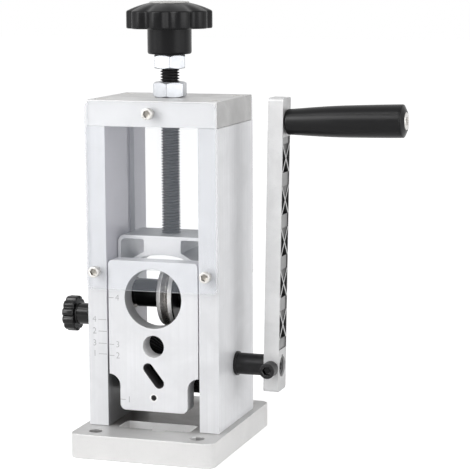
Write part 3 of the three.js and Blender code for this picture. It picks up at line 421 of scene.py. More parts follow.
def new_group(name, inputs, outputs):
    """Empty node group, and its sockets for what goes in and what comes out, by name."""
    group = bpy.data.node_groups.new(name, "ShaderNodeTree")
    for label, value in inputs.items():
        kind = "NodeSocketVector" if isinstance(value, tuple) else "NodeSocketFloat"
        group.interface.new_socket(label, in_out="INPUT", socket_type=kind).default_value = value
    for label in outputs:
        group.interface.new_socket(label, in_out="OUTPUT", socket_type="NodeSocketFloat")
    return group, group.nodes.new("NodeGroupInput").outputs, group.nodes.new("NodeGroupOutput").inputs


def make_brushed_group():
    """Brushed grain: noise on object coordinates that are stretched along the brushing."""
    group, given, result = new_group(
        "brushed grain", {"Stretch": (1, 1, 1), "Low": 0.0, "High": 1.0}, ("Value", "Height"))
    place = vector_maths(group, "MULTIPLY", object_place(group), given["Stretch"])
    fine = add_node(group, "TexNoise", place, Scale=1.0, Detail=3.0, Roughness=0.65)
    plug(group, spread(group, fine, 0.3, 0.7, given["Low"], given["High"]), result["Value"])
    plug(group, fine, result["Height"])
    return group


def make_clouding_group():
    """Clouding: slow patches with a finer mottle in them, between two levels."""
    group, given, result = new_group(
        "clouding", {"Size": 20.0, "Low": 0.0, "High": 1.0}, ("Value",))
    per_metre = maths(group, "DIVIDE", 1 / MM, given["Size"])
    patches = add_node(group, "TexNoise", object_place(group), Scale=per_metre, Detail=5.0,
                       Roughness=0.6, Distortion=0.6)
    plug(group, spread(group, patches, 0.34, 0.66, given["Low"], given["High"]), result["Value"])
    return group


def make_wear_group():
    """Worn edges: one where the surface normal differs from the normal of a rounded edge."""
    group, given, result = new_group("worn edges", {"Width": 0.0006, "Amount": 1.0}, ("Mask",))
    rounded = add_node(group, "Bevel", given["Width"], samples=4)
    plain = add_node(group, "NewGeometry").outputs["Normal"]
    agree = vector_maths(group, "DOT_PRODUCT", rounded, plain).outputs["Value"]
    patchy = add_node(group, "TexNoise", object_place(group), Scale=400.0, Detail=2.0)
    broken = maths(group, "MULTIPLY", spread(group, agree, 0.995, 0.85), patchy)
    plug(group, maths(group, "MULTIPLY", broken, given["Amount"], use_clamp=True), result["Mask"])
    return group


def make_grit_group():
    """Grit: fine even roughness, as on blasted metal and moulded plastic."""
    group, given, result = new_group("grit", {"Grain": 0.4}, ("Height", "Specks"))
    per_metre = maths(group, "DIVIDE", 1 / MM, given["Grain"])
    grains = add_node(group, "TexNoise", object_place(group), Scale=per_metre, Detail=3.0,
                      Roughness=0.7)
    plug(group, grains, result["Height"])
    plug(group, spread(group, grains, 0.62, 0.75), result["Specks"])
    return group


def make_painted_shade_group():
    """Painted shade: one inside a box on object coordinates, with a soft and blotchy border, where it darkens a
    colour as shade falls.

    The mask is 1 where the largest of |place - Middle| / Half over the three axes is under one,
    and falls off round it.
    """
    group, given, result = new_group(
        "painted shade box", {"Middle": (0, 0, 0), "Half": (1, 1, 1)}, ("Mask",))
    place = object_place(group)
    share = vector_maths(
        group, "DIVIDE", vector_maths(group, "SUBTRACT", place, given["Middle"]), given["Half"])
    parts = add_node(group, "SeparateXYZ", vector_maths(group, "ABSOLUTE", share)).outputs
    largest = maths(group, "MAXIMUM", maths(group, "MAXIMUM", parts["X"], parts["Y"]), parts["Z"])
    blotch = add_node(group, "TexNoise", place, Scale=90.0, Detail=3.0)
    ragged = maths(group, "MULTIPLY_ADD", blotch, 0.2, largest)
    plug(group, spread(group, ragged, 1.3, 0.9, interpolation_type="SMOOTHSTEP"), result["Mask"])
    return group


EFFECT_MAKERS = {
    "brushed": make_brushed_group, "clouding": make_clouding_group, "wear": make_wear_group,
    "grit": make_grit_group, "stain": make_painted_shade_group,
}
EFFECTS = {}


def effect(tree, name, **values):
    """Places a shader effect in a material, with its own values."""
    if name not in EFFECTS:
        EFFECTS[name] = EFFECT_MAKERS[name]()
    made = tree.nodes.new("ShaderNodeGroup")
    made.node_tree = EFFECTS[name]
    for label, value in values.items():
        plug(tree, value, made.inputs[label])
    return made


# Materials


def shade(colour, factor):
    """The colour made darker or lighter by a factor."""
    return tuple(min(1, channel * factor) for channel in colour)


def dress_shader(tree, shader, **values):
    """Plugs each value into the shader's input of that name."""
    for label, value in values.items():
        plug(tree, value, shader[label.replace("_", " ")])


def new_material(name, colour, roughness, metallic, **sockets):
    """Material with a Principled shader whose plain values are set on its own sockets."""
    material = bpy.data.materials.new(name)
    material.use_nodes = True
    material.diffuse_color = (*colour, 1)
    shader = material.node_tree.nodes["Principled BSDF"].inputs
    dress_shader(material.node_tree, shader, Base_Color=(*colour, 1), Roughness=roughness,
                 Metallic=metallic, **sockets)
    return material, material.node_tree, shader


def bump(tree, height, distance):
    """Bump of a height, by a distance in millimetres."""
    return add_node(tree, "Bump", Strength=0.5, Distance=distance * MM, Height=height)


def with_painted_shade(tree, colour, stain):
    """The colour with painted shade over it, from (middle, half size, colour) in millimetres."""
    if stain is None:
        return colour
    centre, half, shade_colour = stain
    mask = effect(tree, "stain", Middle=np.array(centre) * MM, Half=np.array(half) * MM)
    return mixed(tree, mask, colour, shade_colour)


def brushed_metal(name, colour, lines_per_mm, roughness=(0.3, 0.42), metallic=0.1, dark=0.92,
                  cloud_dark=0.95, depth=0.012, stain=None):
    """Aluminium with fine lines along one direction, faint clouding and bright edges.

    lines_per_mm holds the lines along X, Y and Z.
    """
    material, tree, shader = new_material(name, colour, roughness[0], metallic)
    stretch = tuple(number / MM for number in lines_per_mm)
    lines = effect(tree, "brushed", Stretch=stretch)
    clouds = effect(tree, "clouding", Size=28)
    lined = mixed(tree, lines, shade(colour, dark), colour)
    cloudy = with_painted_shade(tree, mixed(tree, clouds, shade(colour, cloud_dark * dark), lined), stain)
    edges = effect(tree, "wear", Width=0.5 * MM, Amount=0.5)
    dress_shader(
        tree, shader, Base_Color=mixed(tree, edges, cloudy, shade(colour, 1.2)),
        Roughness=effect(tree, "brushed", Stretch=stretch, Low=roughness[1], High=roughness[0]),
        Normal=bump(tree, lines.outputs["Height"], depth))
    return material


def blasted_metal(name, colour, roughness=(0.38, 0.5), metallic=0.4, cloud_size=16,
                  dark=0.86, grain=0.5, depth=0.03, wear=0.6, stain=None):
    """Satin aluminium with a fine grit, soft clouding and brighter edges."""
    material, tree, shader = new_material(name, colour, roughness[0], metallic)
    clouds = effect(tree, "clouding", Size=cloud_size)
    grit = effect(tree, "grit", Grain=grain)
    cloudy = with_painted_shade(tree, mixed(tree, clouds, shade(colour, dark), colour), stain)
    pitted = mixed(tree, grit.outputs["Specks"], cloudy, shade(colour, dark * 0.8))
    edges = effect(tree, "wear", Width=0.6 * MM, Amount=wear)
    dress_shader(
        tree, shader, Base_Color=mixed(tree, edges, pitted, shade(colour, 1.22)),
        Roughness=effect(tree, "clouding", Size=cloud_size, Low=roughness[1], High=roughness[0]),
        Normal=bump(tree, grit, depth))
    return material


def dark_metal(name, colour, roughness=(0.3, 0.42), wear=0.7, metallic=0.6):
    """Black oxide steel: near black, a little oily, rubbed bright on its edges."""
    material, tree, shader = new_material(name, colour, roughness[0], metallic)
    clouds = effect(tree, "clouding", Size=9)
    cloudy = mixed(tree, clouds, shade(colour, 0.7), shade(colour, 1.3))
    edges = effect(tree, "wear", Width=0.35 * MM, Amount=wear)
    dress_shader(
        tree, shader, Base_Color=mixed(tree, edges, cloudy, (0.16, 0.155, 0.15)),
        Roughness=effect(tree, "clouding", Size=7, Low=roughness[0], High=roughness[1]),
        Normal=bump(tree, effect(tree, "grit", Grain=0.35), 0.008))
    return material


def bright_metal(name, colour, roughness, metallic=1.0):
    """Plated or ground steel: smooth, with faint clouding of its gloss."""
    material, tree, shader = new_material(name, colour, roughness[0], metallic)
    dress_shader(
        tree, shader,
        Base_Color=mixed(tree, effect(tree, "clouding", Size=5), shade(colour, 0.9), colour),
        Roughness=effect(tree, "clouding", Size=4, Low=roughness[0], High=roughness[1]),
        Normal=bump(tree, effect(tree, "grit", Grain=0.6), 0.004))
    return material


def moulded_plastic(name, colour, roughness, depth=0.015, rubbed=1.8, shine=0.5):
    """Moulded plastic: fine grain, slight differences in gloss, and edges a shade lighter."""
    material, tree, shader = new_material(name, colour, roughness[0], 0.0, Specular_IOR_Level=shine)
    clouds = effect(tree, "clouding", Size=12)
    cloudy = mixed(tree, clouds, shade(colour, 0.85), shade(colour, 1.15))
    edges = effect(tree, "wear", Width=0.5 * MM, Amount=0.6)
    dress_shader(
        tree, shader, Base_Color=mixed(tree, edges, cloudy, shade(colour, rubbed)),
        Roughness=effect(tree, "clouding", Size=8, Low=roughness[0], High=roughness[1]),
        Normal=bump(tree, effect(tree, "grit", Grain=0.3), depth))
    return material


def clear_sheet(name, colour, alpha):
    """Clear acrylic: almost nothing but a bluish sheen, painted as a pale see-through colour, with faint smears in
    its gloss.
    """
    gloss = 0.06
    material, tree, shader = new_material(name, colour, gloss, 0.0, Alpha=alpha)
    tint = effect(tree, "clouding", Size=45)
    dress_shader(
        tree, shader, Base_Color=mixed(tree, tint, shade(colour, 0.96), colour),
        Roughness=effect(tree, "clouding", Size=30, Low=gloss * 0.6, High=gloss * 2.2))
    return material


def make_finishes():
    """Every finish of the machine, by name."""
    paint = bpy.context.scene.stripper_finishes
    plate, satin, cast = tuple(paint.plate), tuple(paint.satin), tuple(paint.cast)
    oxide, steel, plastic = tuple(paint.oxide), tuple(paint.steel), tuple(paint.plastic)
    upright, sawn = (0.5, 0.5, 0.004), (0.25, 0.25, 0.7)
    rough_sawn = {"dark": 0.86, "cloud_dark": 0.88, "roughness": (0.4, 0.55), "metallic": 0.3}
    top = {"roughness": (0.34, 0.44), "depth": 0.015}
    base = {"roughness": (0.36, 0.46), "depth": 0.015, "cloud_size": 22}
    # The first box darkens the base's top under the roller and guide plate, and the second darkens the lower
    # inside of the side plates: both are painted shade.
    pocket_painted_shade = ((0, 6, 15.5), (36, 40, 0.6), (0.10, 0.09, 0.085))
    foot_painted_shade = ((0, 5, 22), (60, 44, 40), shade(plate, 0.18))
    return {
        "side": brushed_metal("extruded_side", shade(plate, 1.03), upright, dark=0.9),
        # outer is a lighter copy of the plate colour for the right face, as painted light, and inner a darker
        # violet copy for the inward faces, as painted shade.
        "outer": brushed_metal("outer_painted_light", shade(plate, 1.1), (0.3, 0.3, 0.003), dark=0.9,
                               roughness=(0.34, 0.46)),
        "inner": brushed_metal("inner_painted_shade", (0.61, 0.595, 0.645), (0.9, 0.9, 0.012), stain=foot_painted_shade),
        "guide": brushed_metal("brushed_guide", shade(plate, 1.06), upright),
        # guide_large and guide_dark are darker copies for the walls of the large and small openings, as painted
        # shade, and guide_medium is a lighter copy for the medium opening's wall, as painted light.
        "guide_large": brushed_metal("bored_wall_painted_shade", shade(plate, 0.5), (0.02, 1.6, 0.02)),
        "guide_medium": brushed_metal("tapped_wall_painted_light", (0.97, 0.97, 0.98), (0.02, 1.3, 0.02),
                                      dark=0.7, depth=0.1, metallic=0.0),
        "guide_dark": dark_metal("slot_wall_painted_shade", (0.13, 0.125, 0.13), metallic=0.3),
        # The slider's finishes are copies of one colour: lighter on the front as painted light, and darker on the
        # faces that look up as painted shade.
        "slider": brushed_metal("sawn_slider", shade(plate, 0.85), sawn, **rough_sawn),
        "slider_front_painted_light": brushed_metal("slider_front_painted_light", (0.9, 0.9, 0.91), sawn, dark=0.95,
                                      cloud_dark=0.96),
        "slider_top_painted_shade": brushed_metal("slider_top_painted_shade", shade(plate, 0.54), sawn, **rough_sawn),
        # The top plate's finishes are copies of one satin colour: darker on top, lighter on the front and darker
        # on the right, as painted light and painted shade.
        "top": blasted_metal("satin_top", shade(satin, 0.86), metallic=0.2, **top),
        "top_front_painted_light": blasted_metal("top_front_painted_light", (0.71, 0.71, 0.715), metallic=0.3, dark=0.95, **top),
        "top_right_painted_shade": blasted_metal("top_right_painted_shade", shade(satin, 0.66), metallic=0.3, **top),
        # drilled, base_side, base and pocket are copies of one satin colour, darker in the bolt holes and on the
        # top and lighter on the sides and the pocket's back wall: painted shade and painted light.
        "drilled": blasted_metal("drilled_wall_painted_shade", shade(satin, 0.5), roughness=(0.4, 0.5)),
        "base_side": blasted_metal("satin_base_side", shade(satin, 1.02), metallic=0.1, dark=0.95,
                                   **base),
        "base": blasted_metal("satin_base", shade(satin, 0.74), metallic=0.2, dark=0.93,
                              stain=pocket_painted_shade, **base),
        "pocket": blasted_metal("pocket_wall_painted_light", (0.97, 0.97, 0.97), roughness=(0.4, 0.5),
                                metallic=0.1, dark=0.98, wear=0.0),
        "cast": blasted_metal("cast_arm", shade(cast, 0.88), grain=0.7, depth=0.05, dark=0.9,
                              roughness=(0.45, 0.6), metallic=0.15),
        # arm_face_painted_shade, arm_flat_painted_shade and arm_pocket_painted_shade are ever darker copies of the
        # cast colour for the side faces, the recess floor and the pockets: painted shade.
        "arm_face_painted_shade": blasted_metal("arm_face_painted_shade", shade(cast, 0.68), grain=0.6, depth=0.05, wear=1.0),
        "arm_flat_painted_shade": blasted_metal("arm_recess_painted_shade", shade(cast, 0.36), grain=0.7, depth=0.07, wear=0.3),
        "arm_pocket_painted_shade": blasted_metal("arm_pocket_painted_shade", shade(cast, 0.08), grain=0.7, depth=0.07, wear=0.2),
        # The front sheet's pale veil is painted sheen, and the rear sheet is a fainter copy because it is unlit:
        # painted light and painted shade.
        "clear": clear_sheet("clear_acrylic", (0.84, 0.90, 1.0), 0.065),
        "clear_rear": clear_sheet("clear_acrylic_rear", (0.85, 0.92, 1.0), 0.05),
        "clear_edge": clear_sheet("clear_acrylic_edge", (0.95, 0.97, 1.0), 0.4),
        "zinc": bright_metal("zinc_nut", (0.50, 0.515, 0.54), (0.3, 0.4), 0.6),
        "stainless": bright_metal("stainless_screw", (0.66, 0.645, 0.62), (0.26, 0.36), 0.6),
        "socket": bright_metal("screw_socket_painted_shade", (0.36, 0.34, 0.31), (0.35, 0.45)),
        "oxide": dark_metal("black_oxide", oxide),
        "thread": dark_metal("thread_oxide", shade(oxide, 1.05), (0.42, 0.55), 0.3),
        # ground is a near-white copy of the steel for the bevels, as painted highlight, and hollow is a darker
        # copy for the groove, as painted shade.
        "ground": bright_metal("ground_bevel_painted_highlight", shade(steel, 1.36), (0.26, 0.36), 0.5),
        "hollow": dark_metal("hollow_painted_shade", (0.36, 0.345, 0.33), (0.24, 0.34), 0.0, 0.8),
        "bush": dark_metal("oiled_bush", (0.05, 0.042, 0.035), (0.3, 0.4)),
        "knob": moulded_plastic("knob_plastic", plastic, (0.28, 0.35), rubbed=4.0, shine=0.16),
        "grip": moulded_plastic("grip_plastic", shade(plastic, 0.8), (0.28, 0.35), shine=0.2),
        "gloss": moulded_plastic("gloss_plastic", shade(plastic, 0.5), (0.15, 0.21), depth=0.004,
                                 shine=0.3),
        "cap": moulded_plastic("cap_plastic", (0.52, 0.515, 0.50), (0.4, 0.5), rubbed=1.1),
        "lip": bright_metal("countersunk_lip", (0.95, 0.95, 0.95), (0.3, 0.4), 0.2),
        "ink": moulded_plastic("etched_mark", (0.40, 0.40, 0.41), (0.5, 0.6)),
    }


FINISHES = {}


def finish(name):
    """A finish by name; the first call makes them all."""
    if not FINISHES:
        FINISHES.update(make_finishes())
    return FINISHES[name]


def dress(name, *nodes):
    """Gives carried-over nodes their finish."""
    for node in nodes:
        slots = NODES[node].material_slots
        if len(slots) == 0:
            NODES[node].data.materials.append(finish(name))
        for slot in slots:
            slot.material = finish(name)


# Plates and guards

# Shares of a normal along a direction: over FACING a face looks that way, under WALL it stands in it
FACING, WALL = 0.9, 0.5


def base_finishes(centres, normals):
    """1 for the wall at the back of the base's pocket, 2 for the bolt holes' walls, 3 for the rim, and 0 for the
    rest. They are copies of one colour: nearly white on the pocket's back wall and lighter on the rim as painted
    light, darker in the holes and on the top as painted shade.
    """
    corner, far = low("base_plate"), high("base_plate")
    pocket_half, pocket_from, rim = 30, 10, 3
    pocket = ((normals[:, 1] < -FACING) & (centres[:, 1] > corner[1] + pocket_from)
              & (np.abs(centres[:, 0]) < pocket_half))
    within = np.all((centres > corner + rim) & (centres < far - rim), axis=1,
                    where=[True, True, False])
    hole = within & (np.abs(normals[:, 2]) < 0.7) & (np.abs(centres[:, 0]) > pocket_half)
    side = (np.abs(normals[:, 2]) < WALL) & ~pocket
    return np.select([pocket, hole, side], [1, 2, 3], 0)


def side_finishes(centres, normals):
    """1 for the side plates' faces that look at the machine's middle, which get a darker copy as painted shade,
    and 2 for the right face, which gets a lighter copy as painted light.
    """
    inward = normals[:, 0] * np.sign(centres[:, 0]) < -WALL
    outer = (normals[:, 0] > FACING) & (centres[:, 0] > 0)
    return np.select([inward, outer], [1, 2], 0)


def front_and_right(centres, normals):
    """1 for the faces that look to the front, and 2 for those that look to the right; on the top plate they get a
    lighter and a darker copy of its finish, as painted light and painted shade.
    """
    return np.select([normals[:, 1] < -FACING, normals[:, 0] > FACING], [1, 2], 0)


def sheet_edge(centres, normals):
    """1 for the cut edges of a guard."""
    return np.abs(normals[:, 1]) < WALL


class STRIPPER_OT_plates(bpy.types.Operator):
    """Base, side plates and top plate, with broken edges"""

    bl_idname = "stripper.plates"
    bl_label = "Frame plates"

    def execute(self, context):
        edge = context.scene.stripper_shapes.plate_edge
        base_edge, top_edge = edge * 1.6, edge * 1.8
        eased_copy("base_plate", base_edge, base_finishes, "base", "pocket", "drilled", "base_side",
                   segments=3)
        eased_copy("top_plate", top_edge, front_and_right, "top", "top_front_painted_light", "top_right_painted_shade")
        for side in ("left", "right"):
            eased_copy(f"side_plate_{side}", edge, side_finishes, "side", "inner", "outer")
        return {"FINISHED"}


class STRIPPER_OT_guards(bpy.types.Operator):
    """Clear guards at the front and the back"""

    bl_idname = "stripper.guards"
    bl_label = "Clear guards"

    def execute(self, context):
        edge = 0.25
        for face, sheet in (("front", "clear"), ("rear", "clear_rear")):
            eased_copy(f"{face}_guard", edge, sheet_edge, sheet, "clear_edge", suffix="sheet",
                       segments=1)
        return {"FINISHED"}


# Screws and nuts


def socket_head(radius, height, flats, depth, shank, length, turn):
    """Socket head screw about Z with its seat at z = 0.

    The rows are turned circles, apart from the socket's, which follow a hexagon.
    """
    angle = full_circle(72)
    hexagon = hexagonal(flats, angle + turn)
    edge = radius * 0.14
    outside = eased_outline([
        (0, -length), (shank, -length, 0.3), (shank, 0), (radius - 0.15, 0), (radius, 0.15),
        (radius, height, edge), (radius - edge * 1.5, height)])
    socket = [(hexagon + 0.35, height), (hexagon, height - 0.3), (hexagon, height - depth),
              (hexagon * 0.5, height - depth - 0.5), (0, height - depth - 0.7)]
    return np.stack([polar(reach, angle, z) for reach, z in [*outside, *socket]])


def socket_screw(node, direction, head_height, flats, depth, shank, turn, *finishes, across=0):
    """Socket head screw in place of a node, whose box gives its length, place and radius.

    A second finish, a darker copy, paints shade into the socket. across is the axis along which the radius is
    read.
    """
    axis = int(np.argmax(np.abs(direction)))
    place, size = middle(node), span(node)
    if sum(direction) > 0:
        place[axis] = high(node)[axis] - head_height
    else:
        place[axis] = low(node)[axis] + head_height
    head = socket_head(
        size[across] / 2, head_height, flats, depth, shank, size[axis] - head_height, turn)
    # The last rows, the socket's walls and floor, take the second finish as painted shade.
    bands = np.arange(len(head) - 1) >= len(head) - 4 if len(finishes) > 1 else None
    skin(node, "head", laid(head, direction, place), *finishes, bands=bands)


class STRIPPER_OT_guard_screws(bpy.types.Operator):
    """Socket head screws that hold the clear guards"""

    bl_idname = "stripper.guard_screws"
    bl_label = "Guard screws"

    def execute(self, context):
        head_height, flats, depth, shank = 4, 3.9, 2.5, 2
        for face, direction in (("front", TO_FRONT), ("rear", TO_BACK)):
            for i, place in enumerate(("top", "left", "right")):
                socket_screw(f"guard_screw_{face}_{place}", direction, head_height, flats, depth,
                             shank, 0.3 + 0.35 * i, "stainless", "socket")
        return {"FINISHED"}


class STRIPPER_OT_frame_screws(bpy.types.Operator):
    """Socket head screws in the top plate and under the base"""

    bl_idname = "stripper.frame_screws"
    bl_label = "Frame screws"

    def execute(self, context):
        head_height, flats, depth, shank = 5, 4.0, 2.5, 2.5
        for level, direction, coat in (("top", UP, "stainless"), ("base", DOWN, "oxide")):
            for number in range(1, 5):
                socket_screw(f"{level}_screw_{number}", direction, head_height, flats, depth, shank,
                             0.2 * number, coat)
        return {"FINISHED"}


def threaded_rod(radius, depth, pitch, bottom, top, sides=48):
    """Threaded rod about Z.

    Along one pitch the radius goes crest, flank, root, flank, at the shares given. A row climbs by
    one pitch in a full turn, so its end meets the row one pitch higher. Both ends are cut flat.
    """
    height_shares = np.array([0.06, 0.46, 0.54, 0.94])
    depth_shares = np.array([0.0, 1.0, 1.0, 0.0])
    turns = int(np.ceil((top - bottom) / pitch)) + 2
    row = np.arange(turns * len(height_shares))
    share = row // len(height_shares) - 1 + height_shares[row % len(height_shares)]
    reach = radius - depth * depth_shares[row % len(height_shares)]
    angle = np.linspace(0, 2 * np.pi, sides + 1)
    z = bottom + pitch * (share[:, None] + angle / (2 * np.pi))
    near_end = np.clip((top - z) / pitch, 0, 1)
    tapered = np.minimum(reach[:, None], radius - depth * (1 - near_end))
    ends = [polar(0 * angle, angle, height)[None] for height in (bottom, top)]
    return np.concatenate([ends[0], polar(tapered, angle, np.clip(z, bottom, top)), ends[1]])


class STRIPPER_OT_adjusting_screw(bpy.types.Operator):
    """Threaded adjusting screw"""

    bl_idname = "stripper.adjusting_screw"
    bl_label = "Adjusting screw"

    def execute(self, context):
        shapes, node = context.scene.stripper_shapes, "adjusting_screw"
        bottom = high("slider_block")[2] + 0.3
        neck, neck_bottom, neck_top = 3.85, bottom - 6.2, bottom + 0.5
        rod = threaded_rod(
            span(node)[0] / 2, shapes.thread_depth, shapes.thread_pitch, bottom, high(node)[2])
        skin(node, "thread", rod, "thread", sharp=25, closed=False)
        inner = turned(eased_outline([
            (0, neck_bottom), (neck, neck_bottom, 0.3), (neck, neck_top), (0, neck_top)]), 48)
        made = piece(mesh_from(f"{node}_neck", inner, ["oxide"]), body=BODY_OF[node])
        dress("oxide", "screw_retainer")
        return {"FINISHED"}


def hexagon_nut(flats, bottom, top, turn, bore, sides=180):
    """Nut about Z with a cone turned over both faces.

    The side follows a hexagon with slightly rounded corners, and its upper and lower edge follow
    z = end -+ (reach - face) tan 30, which gives the curved edges of a turned nut.
    """
    angle = full_circle(sides)
    corner = flats / 2 / math.cos(math.pi / 6)
    reach = np.minimum(hexagonal(flats, angle + turn), corner - 0.12)
    face = flats / 2 * 0.95
    drop = np.maximum(0, reach - face) * math.tan(math.radians(30))
    rows = [
        (bore, bottom), (bore + 0.1, bottom), (face, bottom), (reach, bottom + drop),
        (reach, bottom + drop + 0.15), (reach, top - drop - 0.15), (reach, top - drop), (face, top),
        (bore + 1.0, top), (bore, top - 0.9), (bore, bottom)]
    return np.stack([polar(size, angle, z) for size, z in rows])


class STRIPPER_OT_nuts(bpy.types.Operator):
    """Zinc plated nuts above the top plate"""

    bl_idname = "stripper.nuts"
    bl_label = "Nuts"

    def execute(self, context):
        flats, bore = 19, 6.1
        for node, turn in (("lock_nut", KNOB_TURN + math.radians(-13.8)), ("knob_nut", KNOB_TURN)):
            nut = hexagon_nut(flats, low(node)[2], high(node)[2], math.pi / 6 - turn, bore)
            skin(node, "plated", nut, "zinc", sharp=24)
        return {"FINISHED"}


# Turned and moulded pieces


class STRIPPER_OT_hand_knob(bpy.types.Operator):
    """Lobed knob on top of the adjusting screw, and its cap"""

    bl_idname = "stripper.hand_knob"
    bl_label = "Hand knob"

    def execute(self, context):
        bottom, (radius, _, top) = low("hand_knob")[2], high("hand_knob")
        boss, boss_height, rim_height, valley, edge = 13.7, 15.9, 10.9, 2.6, 0.9
        rim = bottom + boss_height
        rim_top = rim + rim_height
        seat, seat_depth = 12.6, 1.0
        dome = eased_outline([
            (radius, rim_top - edge), (radius - 0.25, rim_top - 0.1, 0.5),
            (seat + 7.5, rim_top + (top - rim_top) * 0.62, 6), (seat, top)], steps=9)
        fade = np.clip((dome[:, 0] - seat) / (radius - edge - seat), 0, 1)
        sides = eased_outline([
            (0, bottom + 1.4), (6.4, bottom + 1.4), (6.4, bottom + 0.2, 0.2), (boss, bottom, 1.6),
            (boss, rim, 0.7), (radius - 1.2, rim, 0.4), (radius, rim, 1.0), (radius, rim_top - edge)])
        full = np.clip((sides[:, 0] - boss - 0.2) / (radius - 1.2 - boss), 0, 1)
        well = eased_outline([(seat, top), (seat, top - seat_depth), (0, top - seat_depth)])
        outline = np.vstack([
            np.column_stack([sides, valley * full]), np.column_stack([dome, valley * fade]),
            np.column_stack([well, np.zeros(len(well))])])
        knob = lobed(outline, context.scene.stripper_shapes.knob_lobes, 24, KNOB_TURN)
        skin("hand_knob", "moulded", knob, "knob", sharp=50)

        bottom, (radius, _, top) = low("knob_cap")[2], high("knob_cap")
        cap = turned(eased_outline([
            (0, bottom), (radius, bottom), (radius, top - 0.45, 0.3),
            (radius - 0.9, top - 0.3, 0.4), (radius * 0.5, top - 0.05, 2), (0, top)]))
        skin("knob_cap", "moulded", cap, "cap")
        return {"FINISHED"}


def keyed(rows, key_half, floor, sides=120):
    """Turned rows about Z with a flat bottomed key seat on the +X side.

    rows are [radius, height, keyed]; in a keyed row a point with |y| under half the key's width
    is drawn down to the floor, and two columns stand at each wall of the seat.
    """
    wall = math.asin(key_half / max(row[0] for row in rows))
    nudge = 0.002
    extra = np.array([wall + nudge, wall - nudge, -wall + nudge, -wall - nudge]) % (2 * np.pi)
    angle = np.sort(np.concatenate([full_circle(sides), extra]))
    made = np.stack([polar(reach, angle, z) for reach, z, _ in rows])
    x, y = made[..., 0], made[..., 1]
    inside = (np.abs(y) < key_half) & (x > 0) & np.array([row[2] for row in rows])[:, None]
    made[..., 0] = np.where(inside, np.minimum(x, floor), x)
    return made


class STRIPPER_OT_drive_shaft(bpy.types.Operator):
    """Drive shaft with its washer, clip, keys and bushes"""

    bl_idname = "stripper.drive_shaft"
    bl_label = "Drive shaft"

    def execute(self, context):
        left, right = low("drive_shaft")[0], high("drive_shaft")[0]
        radius = span("drive_shaft")[1] / 2
        shoulder = low("crank_arm")[0] - 0.1
        journal, seat_floor, key_half = 6.05, 4.6, 1.5
        outline = eased_outline([
            (0, left + 0.8), (2.2, left + 0.8), (3.0, left), (radius, left, 0.6),
            (radius, shoulder, 0.4), (journal, shoulder)], steps=4)
        rows = [(*place, False) for place in outline]
        rows += [
            (journal, right - 7.4, False), (journal, right - 7.3, True), (journal, right - 0.5, True),
            (journal - 0.5, right, True), (2.6, right, False), (1.8, right - 1.0, False),
            (0, right - 1.3, False)]
        skin("drive_shaft", "turned", along_x(keyed(rows, key_half, seat_floor), SHAFT), "oxide")
        for node, edge in (("thrust_washer", 0.3), ("shaft_clip", 0.2)):
            near, end = low(node)[0], high(node)[0]
            outer, bore = span(node)[1] / 2, radius + 0.12
            ring = turned(eased_outline([
                (bore, near), (outer, near, edge), (outer, end, edge), (bore, end, edge / 2),
                (bore, near)], steps=4))
            skin(node, "turned", along_x(ring, SHAFT), "oxide")
        dress("bush", "shaft_bush_left", "shaft_bush_right")
        dress("oxide", "roller_key", "crank_key")
        return {"FINISHED"}


class STRIPPER_OT_feed_roller(bpy.types.Operator):
    """Toothed feed roller with its V groove"""

    bl_idname = "stripper.feed_roller"
    bl_label = "Feed roller"

    def execute(self, context):
        shapes = context.scene.stripper_shapes
        half, _, radius = span("feed_roller") / 2
        groove, floor_half, groove_depth, bore, chamfer = 8.9, 2.5, 9.0, 7.0, 0.9
        floor = radius - groove_depth
        # One half of the profile: distance from the middle, radius, and share of the teeth's depth
        profile = np.array([
            (half, bore, 0), (half, radius - chamfer, 0.4), (half - chamfer, radius, 1),
            (groove + 0.4, radius, 1), (groove, radius - 0.3, 1), (floor_half, floor, 0.15)])
        x = np.concatenate([-profile[:, 0], profile[::-1, 0]])
        reach, full = np.vstack([profile, profile[::-1]])[:, 1:].T
        teeth, per_tooth = shapes.roller_teeth, 8
        angle = full_circle(teeth * per_tooth)
        phase = (angle * teeth / (2 * np.pi)) % 1
        gullet = np.clip(2.6 * np.abs(phase - 0.5) - 0.3, 0, 1)
        tooth = shapes.roller_tooth_depth * gullet
        roller = polar(reach[:, None] - full[:, None] * tooth, angle, x[:, None])
        closed = np.concatenate([roller, roller[:1]])
        skin("feed_roller", "toothed", along_x(closed, SHAFT), "oxide", sharp=28)
        return {"FINISHED"}


